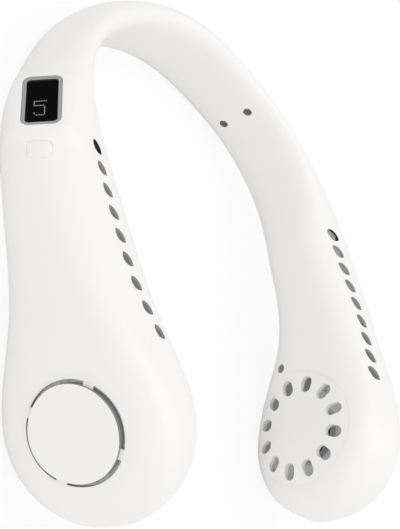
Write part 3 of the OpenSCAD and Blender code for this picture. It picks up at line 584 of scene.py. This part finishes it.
# The whole skins run past the shells' own edges by this share
PAST = 0.02
whole_angles = even_angles(-90, 270, WHOLE_STEPS)
ARM_SURFACE = surface(*arm_rows(BAND_END - PAST, ARM_SKIN_STEPS), whole_angles, 0)
BAND_SKIN = Skin(surface(np.linspace(-BAND_END - PAST, BAND_END + PAST, BAND_SKIN_STEPS),
                         np.zeros(BAND_SKIN_STEPS), whole_angles, 0))


# Screw holes, outlets and the ring-shaped slot

# Places along a screw, out from the neck: past the skin, the well's start, the seat, the ends of boss and bore
ScrewLine = namedtuple("ScrewLine", "mouth well seat boss_end bore_end")


def face_out(share, high, power):
    """How far out the section's skin is where it is this high."""
    return float(half_thickness(share) * (1 - (abs(high) / half_height(share)) ** power) ** (1 / power))


def screw_line(share, high):
    """The places along a screw at this height of the section."""
    edge, half = abs(high) + BOSS_D / 2, float(half_thickness(share))
    outer = face_out(share, edge, float(outer_power(share)))
    return ScrewLine(-half - OVER, -face_out(share, edge, NECK_POWER) + FIT_GAP, -half * SEAT_SHARE,
                     outer - WALL / 2, outer - WALL)


POD_SCREW_UP = -POD_SCREW_DROP * float(half_height(POD_SCREW))
BAND_LINE = screw_line(BAND_SCREW, BAND_SCREW_UP)
POD_LINE = screw_line(POD_SCREW, POD_SCREW_UP)
BAND_SCREWS = [at_section(side * BAND_SCREW) @ turned(-side * BAND_SCREW_TURN, 0, 0)
               @ Matrix.Translation((0, 0, up_by)) @ turned(0, 90, 0)
               for side in (-1, 1) for up_by in (-BAND_SCREW_UP, BAND_SCREW_UP)]
POD_SCREW_AT = at_section(POD_SCREW, 0, POD_SCREW_UP) @ turned(0, 90, 0)


def well(line):
    """The tube round a sunk screw hole, inside the inner shell."""
    return cylinder(line.well, line.seat, BOSS_D)


def well_bore(line):
    """A sunk hole for the screw's head, and the narrow hole under it."""
    step = line.seat - SEAT_THICKNESS
    return lathe([(BORE_D / 2, line.seat + OVER), (BORE_D / 2, step), (HEAD_BORE_D / 2, step),
                  (HEAD_BORE_D / 2, line.mouth)], BORE_STEPS)


def boss(line):
    """The post inside the outer shell that the screw goes into."""
    return cylinder(line.seat, line.boss_end, BOSS_D)


def boss_bore(line):
    """The screw's pilot hole in its boss."""
    return cylinder(line.seat - OVER, line.bore_end, PILOT_D, PILOT_STEPS)


def leaf_radius(length, width):
    """The radius of the two arcs that bound a leaf."""
    return (length ** 2 + width ** 2) / (4 * width)


def leaf(length, width):
    """A slot with pointed ends, along y."""
    radius = leaf_radius(length, width)
    half = math.asin(length / 2 / radius)
    side = [(radius * math.cos(t) - radius + width / 2, radius * math.sin(t))
            for t in np.linspace(-half, half, LEAF_POINTS)]
    return side + [(-x, y) for x, y in reversed(side[1:-1])]


def vent_centre(share):
    """How far out and up the row of outlets runs on the section."""
    return (float(-half_thickness(share) * VENT_IN),
            float(half_height(share) * (1 - VENT_IN ** NECK_POWER) ** (1 / NECK_POWER)))


def vent_places(slant):
    """Places on the skin, with z out of it and y back along the arm, turned by the slant."""
    places = []
    for share in VENTS:
        out_by, up_by = vent_centre(share)
        rise = (place_at(share + NUDGE, *vent_centre(share + NUDGE))
                - place_at(share - NUDGE, *vent_centre(share - NUDGE)))
        slope = math.degrees(math.asin(rise[2] / np.linalg.norm(rise)))
        high, wide = float(half_height(share)), float(half_thickness(share))
        fall = math.degrees(math.atan(high / wide * (VENT_IN * high / up_by) ** (NECK_POWER - 1)))
        places.append(at_section(share, out_by, up_by) @ turned(-slope, -fall, 0) @ turned(0, 0, slant))
    return places


def scoop():
    """The cap of a ball that sinks into the skin and ends a little above it."""
    middle = SCOOP_RADIUS - SCOOP_DEPTH
    end = math.acos((middle - SCOOP_ABOVE) / SCOOP_RADIUS)
    profile = [(TINY, -SCOOP_DEPTH)]
    profile += [(SCOOP_RADIUS * math.sin(t), middle - SCOOP_RADIUS * math.cos(t))
                for t in np.linspace(0, end, SCOOP_POINTS)[1:]]
    return lathe(profile, SCOOP_TURNS)


def intake_slot():
    """The ring-shaped slot, as one arc between each two bridges."""
    arcs = []
    for k in range(BRIDGES):
        middle = BRIDGE_TURN + 360 / BRIDGES * k + 180 / BRIDGES
        outline = []
        for radius, way in ((SLOT_D / 2, 1), (SLOT_D / 2 - SLOT_WIDTH, -1)):
            half = way * (180 / BRIDGES - math.degrees(math.asin(BRIDGE / 2 / radius)))
            outline += [(radius * math.cos(t), radius * math.sin(t))
                        for t in np.radians(middle + np.linspace(-half, half, ARC_POINTS))]
        arcs.append(prism(outline, WALL, SLOT_TOP))
    return joined(arcs)


# Materials

BROAD_SCALE, BROAD_DETAIL, FINE_DETAIL, BUMP_DEPTH = 22, 2, 3, 0.0001


def filled(node, values):
    """Sets a node's inputs by their names."""
    for name, value in values.items():
        node.inputs[name].default_value = value
    return node


def node_material(name, colour, roughness, bump=0.0, scale=900.0, metallic=0.0, variation=0.015,
                  rough_spread=0.05, specular=0.5, glow=0.0):
    """A moulded or metal surface: slight changes of tone and gloss, and a fine texture. Its glow is the light of
    the display's lit dots; elsewhere it is painted light that stands in for the light the thin white plastic
    lets through to what it covers."""
    material = bpy.data.materials.new(name)
    material.use_nodes = True
    new, link = material.node_tree.nodes.new, material.node_tree.links.new
    shader = filled(material.node_tree.nodes["Principled BSDF"], {
        "Metallic": metallic, "Specular IOR Level": specular,
        "Emission Color": (1, 1, 1, 1), "Emission Strength": glow})
    coordinates = new("ShaderNodeTexCoord")
    broad = filled(new("ShaderNodeTexNoise"), {"Scale": BROAD_SCALE, "Detail": BROAD_DETAIL})
    tone = filled(new("ShaderNodeMapRange"), {"To Min": 1 - variation, "To Max": 1})
    mix = new("ShaderNodeMix")
    mix.data_type, mix.blend_type = "RGBA", "MULTIPLY"
    filled(mix, {"Factor": 1, "A": (*colour, 1)})
    fine = filled(new("ShaderNodeTexNoise"), {"Scale": scale, "Detail": FINE_DETAIL})
    gloss = filled(new("ShaderNodeMapRange"),
                   {"To Min": roughness - rough_spread, "To Max": roughness + rough_spread})
    link(coordinates.outputs["Object"], broad.inputs["Vector"])
    link(broad.outputs["Fac"], tone.inputs["Value"])
    link(tone.outputs["Result"], mix.inputs["B"])
    link(mix.outputs["Result"], shader.inputs["Base Color"])
    link(coordinates.outputs["Object"], fine.inputs["Vector"])
    link(fine.outputs["Fac"], gloss.inputs["Value"])
    link(gloss.outputs["Result"], shader.inputs["Roughness"])
    if bump:
        height = filled(new("ShaderNodeBump"), {"Strength": bump, "Distance": BUMP_DEPTH})
        link(fine.outputs["Fac"], height.inputs["Height"])
        link(height.outputs["Normal"], shader.inputs["Normal"])
    return material


WHITE = node_material("white_plastic", (0.872, 0.864, 0.848), 0.42, bump=0.06, scale=2600, variation=0.01)
SILVER = node_material("silver_frame", (0.4, 0.4, 0.4), 0.3, bump=0.05, scale=1500, metallic=0.9,
                       variation=0.05)
GLASS = node_material("black_glass", (0.002, 0.002, 0.002), 0.12, scale=300, variation=0.2, rough_spread=0.02,
                      specular=0.02)
# Painted shade: a grey for the walls of slots and holes and the inside of the white shells, with a faint painted
# glow
PAINTED_INNER_SHADE = node_material("painted_inner_shade", (0.26, 0.26, 0.26), 0.6, bump=0.1, scale=1800, variation=0.05,
                       glow=0.11)
# Painted shade: a grey for the walls of the ring-shaped slot, the disc's side and the sunk screw holes, with a
# fainter painted glow
PAINTED_WALL_SHADE = node_material("painted_wall_shade", (0.26, 0.26, 0.26), 0.6, bump=0.1, scale=1800, variation=0.05, glow=0.04)
# Dark plastic of the display module and switch; also painted shade, near black, on the first outlet
DARK_PLASTIC_AND_SHADE = node_material("dark_plastic", (0.03, 0.03, 0.032), 0.5, bump=0.1, scale=1800)
# Pale plastic of the fan's inner parts, with a painted glow that lifts them where they are seen through holes
# and slots
PALE_PLASTIC_AND_GLOW = node_material("light_plastic", (0.8, 0.8, 0.79), 0.5, bump=0.08, scale=2000, variation=0.03, glow=0.09)
BOARD_GREEN = node_material("board_lacquer", (0.03, 0.08, 0.055), 0.3, bump=0.05, scale=700, variation=0.2)
STEEL = node_material("steel", (0.55, 0.55, 0.56), 0.3, bump=0.05, scale=2400, metallic=1.0, variation=0.08)
MAGNET = node_material("magnet", (0.05, 0.05, 0.052), 0.55, bump=0.2, scale=1600, metallic=0.3, variation=0.1)
CORE = node_material("stator_core", (0.12, 0.12, 0.125), 0.45, bump=0.1, scale=1200, metallic=0.7,
                     variation=0.1)
CELL = node_material("cell_sleeve", (0.04, 0.13, 0.4), 0.32, bump=0.04, scale=500, variation=0.05)
LEAD = node_material("lead_rubber", (0.02, 0.02, 0.021), 0.55, bump=0.1, scale=1200, variation=0.1)
LIGHT_LEAD = node_material("light_lead_rubber", (0.5, 0.5, 0.49), 0.5, bump=0.1, scale=1200, variation=0.1)
LIT = node_material("lit_dots", (0.25, 0.25, 0.25), 0.4, scale=1500, variation=0.1, glow=0.16)

# The first key that a node's name holds gives its material
NODE_MATERIALS = (
    ("display_bezel", SILVER), ("display_glass", GLASS), ("display_module", DARK_PLASTIC_AND_SHADE), ("power_switch", DARK_PLASTIC_AND_SHADE),
    ("motor_board", BOARD_GREEN), ("main_board", BOARD_GREEN), ("charging_socket", STEEL), ("impeller", PALE_PLASTIC_AND_GLOW),
    ("rotor_cup", STEEL), ("magnet", MAGNET), ("shaft", STEEL), ("bearings", STEEL), ("stator", CORE),
    ("motor_seat", PALE_PLASTIC_AND_GLOW), ("scroll", PALE_PLASTIC_AND_GLOW), ("duct_floor", PALE_PLASTIC_AND_GLOW), ("battery_cell", CELL),
    ("harness", LEAD), ("motor_lead", LIGHT_LEAD), ("screws", STEEL), ("switch_plunger", WHITE), ("", WHITE),
)


def smoothing(angle):
    """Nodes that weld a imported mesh's split points and smooth it where it bends gently. The mesh itself stays
    as it is."""
    group = bpy.data.node_groups.new(f"smooth_{angle}", "GeometryNodeTree")
    for way in ("INPUT", "OUTPUT"):
        group.interface.new_socket("Geometry", in_out=way, socket_type="NodeSocketGeometry")
    new, link = group.nodes.new, group.links.new
    start, end = new("NodeGroupInput"), new("NodeGroupOutput")
    weld = filled(new("GeometryNodeMergeByDistance"), {"Distance": 2e-6})
    faces, edges = new("GeometryNodeSetShadeSmooth"), new("GeometryNodeSetShadeSmooth")
    faces.domain, edges.domain = "FACE", "EDGE"
    bend = new("GeometryNodeInputMeshEdgeAngle")
    compare = new("FunctionNodeCompare")
    compare.data_type, compare.operation = "FLOAT", "LESS_THAN"
    filled(compare, {"B": math.radians(angle)})
    link(start.outputs[0], weld.inputs["Geometry"])
    link(weld.outputs["Geometry"], faces.inputs["Geometry"])
    link(faces.outputs["Geometry"], edges.inputs["Geometry"])
    link(bend.outputs["Unsigned Angle"], compare.inputs["A"])
    link(compare.outputs["Result"], edges.inputs["Shade Smooth"])
    link(edges.outputs["Geometry"], end.inputs[0])
    return group


SMOOTHING = smoothing(NODE_SHARP)
for node_name, node_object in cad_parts.items():
    material = next(m for key, m in NODE_MATERIALS if key in node_name)
    node_object.data.materials.clear()
    node_object.data.materials.append(material)
    node_object.modifiers.new("smooth", "NODES").node_group = SMOOTHING


def piece(obj, body, material, replaces=()):
    """Gives an object its material and its body, and hides the CAD nodes that it stands for."""
    obj.data.materials.clear()
    obj.data.materials.append(material)
    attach(obj, body)
    if replaces:
        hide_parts(*replaces)
    return obj


def wall_test(matrix, most_lean, near):
    """Makes a test of a face's centre and normal: whether the face stands along z at the place, with a z of its
    normal under most_lean, and near(x, y, z) holds for its centre in mm."""
    inverse = matrix.inverted()
    turn = inverse.to_3x3().normalized()
    return lambda centre, normal: abs((turn @ normal).z) < most_lean and near(*(inverse @ (centre / MM)))


def leaf_walls(matrix, length, width):
    """Tests for a wall of the air outlet at this place."""
    radius, depth, margin = leaf_radius(length, width), 4, 0.08

    def near(x, y, z):
        off = math.hypot(abs(x) + radius - width / 2, y) - radius
        return abs(x) < width and abs(y) < length and abs(z) < depth and abs(off) < margin
    return wall_test(matrix, 0.5, near)


def ring_walls(matrix):
    """Tests for a wall of the ring-shaped slot."""
    low, high = SLOT_D / 2 - SLOT_WIDTH - 0.1, SLOT_D / 2 + 0.1
    return wall_test(matrix, 0.5, lambda x, y, z: z >= 0 and low < math.hypot(x, y) < high)


def bore_walls(matrix):
    """Tests for the wall of the sunk screw hole on this line."""
    low, high = HEAD_BORE_D / 2 - 0.15, HEAD_BORE_D / 2 + 0.05
    return wall_test(matrix, 0.3, lambda x, y, z: z < 0 and low < math.hypot(x, y) < high)


def shade(obj, skin, tests, walls=PAINTED_INNER_SHADE, shaded_outlet_at=None):
    """Paints shade: the walls of slots and holes and the inside of a shell get rougher grey materials with a
    faint painted glow, not its polished white skin. The outlet at shaded_outlet_at, with no duct under it, is
    painted near black."""
    shaded_outlet_reach = 0.0045
    # Painted shade: grey for walls and insides, near black round the outlet with no duct under it
    for material in (PAINTED_INNER_SHADE, walls, DARK_PLASTIC_AND_SHADE):
        obj.data.materials.append(material)
    for polygon in obj.data.polygons:
        wall = any(test(polygon.center, polygon.normal) for test in tests)
        if wall or skin.covers(polygon.center):
            polygon.material_index = 2 if wall else 1
            if shaded_outlet_at is not None and (polygon.center - shaded_outlet_at).length < shaded_outlet_reach:
                polygon.material_index = 3


# Arms

REACH = float(half_thickness(1))
BEYOND = -REACH - 3 * OVER  # past the pod's skin on the neck side
DISPLAY_AT = on_face(DISPLAY, DISPLAY_UP, DISPLAY_TURN)
BUTTON_AT = on_face(BUTTON, BUTTON_UP, BUTTON_TURN)
SOCKET_AT = (on_face(BOARD, BOARD_UP)
             @ Matrix.Translation((-SOCKET_AHEAD, -SOCKET_DROP, -BOARD_DEPTH - BOARD_THICKNESS - SOCKET_ROUND))
             @ turned(-90, 0, 0))


def opening(size, radius, low, high):
    """A cutter with round corners, a seam larger all round than what stands in it."""
    return prism(rounded(size[0] + 2 * SEAM, size[1] + 2 * SEAM, radius + SEAM), low, high)


WINDOWS = (opening(DISPLAY_SIZE, DISPLAY_ROUND, -3 * WALL, WALL).moved(DISPLAY_AT),
           opening(BUTTON_SIZE, BUTTON_ROUND, -2 * WALL, WALL).moved(BUTTON_AT),
           prism(rounded(*SOCKET_HOLE, SOCKET_ROUND), -WALL - OVER, 2 * WALL).moved(SOCKET_AT))


def drawn_up(form, layers):
    """The skin drawn up to the flat display all round and eased back into the round arm. The form's points lie
    in as many layers as there are depths under the display's face."""
    m = np.array(DISPLAY_AT)
    local = (form.points - m[:3, 3]) @ m[:3, :3]
    depth = np.repeat(np.array(layers, float), len(local) // len(layers))
    past = [np.maximum(np.abs(local[:, k]) - DISPLAY_SIZE[k] / 2, 0) / DISPLAY_BLEND[k] for k in (0, 1)]
    share = np.where(local[:, 2] > -DRAWN_DEPTH, np.clip(1 - np.hypot(*past), 0, 1), 0)
    share = share * share * (3 - 2 * share)
    local[:, 2] -= share * (local[:, 2] + depth)
    return Form(local @ m[:3, :3].T + m[:3, 3], form.faces)


def outer_shell(side, mirror, sheet, skin, windows):
    """The outer shell, with the proud disc in its ring-shaped slot and the pod screw's boss."""
    near = (ARM_SHARES > DISC_FROM) & (ARM_TIPS < DISC_TIP)
    rows = ARM_SHARES[near], ARM_TIPS[near], even_angles(-DISC_ANGLE, DISC_ANGLE, DISC_STEPS)
    disc_round = cylinder(0, REACH + DISC_RISE + OVER, SLOT_D - 2 * SLOT_WIDTH, ROUND_STEPS)
    disc = cut(skin_sheet(*rows, -DISC_RISE, WALL / 2).moved(mirror),
               [("INTERSECT", disc_round.moved(mirror @ ON_FAN))], f"{side}_disc")
    steps = [("UNION", to_form(disc)), ("UNION", boss(POD_LINE).moved(mirror @ POD_SCREW_AT)),
             ("DIFFERENCE", intake_slot().moved(mirror @ ON_FAN)),
             ("DIFFERENCE", boss_bore(POD_LINE).moved(mirror @ POD_SCREW_AT))]
    steps += [("DIFFERENCE", window.moved(mirror)) for window in windows]
    shell = cut(sheet.moved(mirror), steps, f"{side}_outer_skin")
    finish_normals(shell, [skin, Skin(surface(*rows, -DISC_RISE).moved(mirror))])
    piece(shell, "housing", WHITE, [f"{side}_outer_shell"])
    # Painted shade on the walls of the ring-shaped slot, the disc's side and the shell's inside
    shade(shell, skin, [ring_walls(mirror @ ON_FAN)], PAINTED_WALL_SHADE)


def inner_shell(side, mirror, sheet, skin):
    """The shell on the neck's side, with the outlets in their hollows, the cover's opening and the sunk screw
    hole."""
    length, width, slant = VENT_LEAF[side]
    places = vent_places(slant)
    lip = -SCOOP_DEPTH - VENT_LIP
    slot = prism(leaf(length, width), -2 * WALL - SCOOP_DEPTH, OVER)
    relief = prism([(x * (width + WALL) / 2, y * length / 2) for x, y in CORNERS], lip - 2 * WALL, lip)
    # Neighbouring reliefs and scoops meet, so each kind cuts in two turns
    cutters = [(slot, places), (relief, places[::2]), (relief, places[1::2]), (scoop(), places[::2]),
               (scoop(), places[1::2])]
    grille_cut = cylinder(BEYOND, -OVER, GRILLE_D - 2 * FIT_GAP + 2 * SEAM, ROUND_STEPS).moved(ON_FAN)
    steps = [("UNION", well(POD_LINE).moved(mirror @ POD_SCREW_AT)), ("DIFFERENCE", grille_cut.moved(mirror))]
    steps += [("DIFFERENCE", joined([form.moved(m) for m in where]).moved(mirror)) for form, where in cutters]
    steps += [("DIFFERENCE", well_bore(POD_LINE).moved(mirror @ POD_SCREW_AT))]
    shell = cut(sheet.moved(mirror), steps, f"{side}_neck_skin")
    finish_normals(shell, [skin])
    piece(shell, "housing", WHITE, [f"{side}_inner_shell"])
    # Painted shade on the outlets' walls and the shell's inside; the first outlet is painted near black
    shade(shell, skin, [leaf_walls(mirror @ m, length, width) for m in places],
          shaded_outlet_at=(mirror @ places[0]).translation * MM)


def intake_cover(side, mirror, skin):
    """The cover on the neck's side of the fan, with its ring of oval holes, skirt and the motor seat's post."""
    pod, d = ARM_SHARES > GRILLE_FROM, GRILLE_D - 2 * FIT_GAP
    rows = ARM_SHARES[pod], ARM_TIPS[pod], NECK_ANGLES
    ring = lathe([(d / 2, -REACH), (d / 2, 0), (d / 2 - SKIRT_WALL, 0), (d / 2 - SKIRT_WALL, -REACH)],
                 ROUND_STEPS, True)
    skirt = cut(skin_sheet(*rows, WALL / 2, WALL + SKIRT_DEPTH).moved(mirror),
                [("INTERSECT", ring.moved(mirror @ ON_FAN))], f"{side}_skirt")
    post = cylinder(-REACH + WALL / 2, POST_HEIGHT + WALL - REACH, POST_D)
    hole = prism(rounded(HOLE_LENGTH, HOLE_WIDTH, HOLE_WIDTH / 2 - TINY, HOLE_STEPS), BEYOND, -OVER)
    holes = [hole.moved(turned(0, 0, 360 / HOLES * (i + 0.5)) @ Matrix.Translation((HOLE_CIRCLE / 2, 0, 0)))
             for i in range(HOLES)]
    steps = [("INTERSECT", cylinder(BEYOND, -OVER, d, ROUND_STEPS).moved(mirror @ ON_FAN)),
             ("UNION", to_form(skirt)), ("UNION", post.moved(mirror @ ON_FAN)),
             ("DIFFERENCE", joined(holes).moved(mirror @ ON_FAN))]
    shell = cut(skin_sheet(*rows, 0, WALL).moved(mirror), steps, f"{side}_intake_cover")
    finish_normals(shell, [skin])
    piece(shell, "housing", WHITE, [f"{side}_grille"])
    # Painted shade on the cover's inside and skirt, seen through its holes
    shade(shell, skin, [])


outer_sheet = skin_sheet(ARM_SHARES, ARM_TIPS, OUTER_ANGLES, 0, WALL)
neck_sheet = skin_sheet(ARM_SHARES, ARM_TIPS, NECK_ANGLES, 0, WALL)
left_skin = Skin(ARM_SURFACE)
outer_shell("left", Matrix.Identity(4), outer_sheet, left_skin, ())
inner_shell("left", Matrix.Identity(4), neck_sheet, left_skin)
intake_cover("left", Matrix.Identity(4), left_skin)
right_skin = Skin(drawn_up(ARM_SURFACE, (0,)).moved(MIRROR))
outer_shell("right", MIRROR, drawn_up(outer_sheet, (0, WALL)), right_skin, WINDOWS)
inner_shell("right", MIRROR, drawn_up(neck_sheet, (0, WALL)), right_skin)
intake_cover("right", MIRROR, right_skin)


# Band

def band_shell(name, angles, tube, bore, node):
    """One of the band's two shells, with a tube round each of its four screws."""
    steps = [("UNION", joined([tube(BAND_LINE).moved(m) for m in BAND_SCREWS])),
             ("DIFFERENCE", joined([bore(BAND_LINE).moved(m) for m in BAND_SCREWS]))]
    shell = cut(skin_sheet(BAND_SHARES, BAND_TIPS, angles, 0, WALL), steps, name)
    finish_normals(shell, [BAND_SKIN])
    return piece(shell, "housing", WHITE, [node])


band_shell("band_outer_skin", OUTER_ANGLES, boss, boss_bore, "band_outer_shell")
band_neck = band_shell("band_neck_skin", NECK_ANGLES, well, well_bore, "band_inner_shell")
# Painted shade on the walls of the band's sunk screw holes and on the shell's inside
shade(band_neck, BAND_SKIN, [bore_walls(m) for m in BAND_SCREWS], PAINTED_WALL_SHADE)

# Display

IN_FACE = MIRROR @ DISPLAY_AT
# The frame's outlines round its section, each with length, width, corner radius and height over the face
FRAME_ROWS = ((*DISPLAY_SIZE, DISPLAY_ROUND, -3.0), (*DISPLAY_SIZE, DISPLAY_ROUND, -0.3),
              (21.5, 12.0, 2.5, -0.08), (21.1, 11.6, 2.3, 0.0), (19.5, 10.3, 1.5, -0.06),
              (19.0, 9.8, 1.3, -0.25), (19.0, 9.8, 1.3, -3.0))
bezel_form = frame_loft([(rounded(*outline), height) for *outline, height in FRAME_ROWS])
bezel = to_object("display_frame", bezel_form.moved(IN_FACE))
mark_sharp(bezel.data, FRAME_SHARP)
piece(bezel, "housing", SILVER, ["display_bezel"])

# The lit numeral: rows of small dots behind the glass. First back along the arm, then up.
DIGIT_STROKES = (((3.1, -1.8), (3.1, 1.8)), ((3.1, -1.8), (1.15, -1.8)), ((1.15, -1.8), (1.15, 1.0)),
                 ((0.6, 1.4), (-2.6, 1.4)), ((-3.1, 1.0), (-3.1, -1.0)), ((-2.4, -1.7), (-2.0, -1.7)))
DOT_PITCH, DOT_D, DOT_LOW, DOT_HIGH = 0.5, 0.34, -0.84, -0.79
DIGIT_BACK, DIGIT_UP = -2.8, -0.55
dots = []
for (x0, y0), (x1, y1) in DIGIT_STROKES:
    count = max(round(math.hypot(x1 - x0, y1 - y0) / DOT_PITCH), 1)
    dots += [(x0 + (x1 - x0) * i / count + DIGIT_BACK, y0 + (y1 - y0) * i / count + DIGIT_UP)
             for i in range(count + 1)]
dots = sorted({(round(x, 2), round(y, 2)) for x, y in dots})
dot = cylinder(DOT_LOW, DOT_HIGH, DOT_D, DOT_STEPS)
digit = joined([dot.moved(Matrix.Translation((x, y, 0))) for x, y in dots])
piece(to_object("display_digit", digit.moved(IN_FACE)), "housing", LIT)

# Floor, light and background

FLOOR_HALF = 3.0
FLOOR_GLOW, WORLD_GLOW = 0.88, 0.86

floor_mesh = bpy.data.meshes.new("floor")
floor_mesh.from_pydata([(x * FLOOR_HALF, y * FLOOR_HALF, 0) for x, y in CORNERS], [], [(0, 1, 2, 3)])
floor = bpy.data.objects.new("floor", floor_mesh)
scene.collection.objects.link(floor)
floor_material = bpy.data.materials.new("floor_white")
floor_material.use_nodes = True
nodes, link = floor_material.node_tree.nodes, floor_material.node_tree.links.new
shader = filled(nodes["Principled BSDF"],
                {"Base Color": (0.9, 0.9, 0.9, 1), "Roughness": 0.9, "Specular IOR Level": 0.1})
# The camera sees the floor's shadow softened, as on a lit studio table
glow = filled(nodes.new("ShaderNodeEmission"), {"Color": (1, 1, 1, 1), "Strength": 1.0})
path = nodes.new("ShaderNodeLightPath")
share = nodes.new("ShaderNodeMath")
share.operation = "MULTIPLY"
share.inputs[1].default_value = FLOOR_GLOW
mix = nodes.new("ShaderNodeMixShader")
link(path.outputs["Is Camera Ray"], share.inputs[0])
link(share.outputs["Value"], mix.inputs["Fac"])
link(shader.outputs["BSDF"], mix.inputs[1])
link(glow.outputs["Emission"], mix.inputs[2])
link(mix.outputs["Shader"], nodes["Material Output"].inputs["Surface"])
floor_mesh.materials.append(floor_material)

world = bpy.data.worlds.new("studio")
world.use_nodes = True
scene.world = world
filled(world.node_tree.nodes["Background"], {"Color": (1, 1, 1, 1), "Strength": WORLD_GLOW})


def lamp(name, place, target, size, power):
    """A square area light, all in metres and watts."""
    data = bpy.data.lights.new(name, "AREA")
    data.shape = "SQUARE"
    data.size = size
    data.energy = power
    obj = bpy.data.objects.new(name, data)
    direction = Vector(target) - Vector(place)
    obj.matrix_world = Matrix.Translation(place) @ direction.to_track_quat("-Z", "Y").to_matrix().to_4x4()
    scene.collection.objects.link(obj)


lamp("overhead", (0.3, 0.1, 1.4), (0, 0, 0.02), 1.2, 4.6)
lamp("front", (-1.0, -0.9, 0.9), (0, 0, 0.02), 0.8, 2.4)

scene.view_settings.view_transform = "Standard"
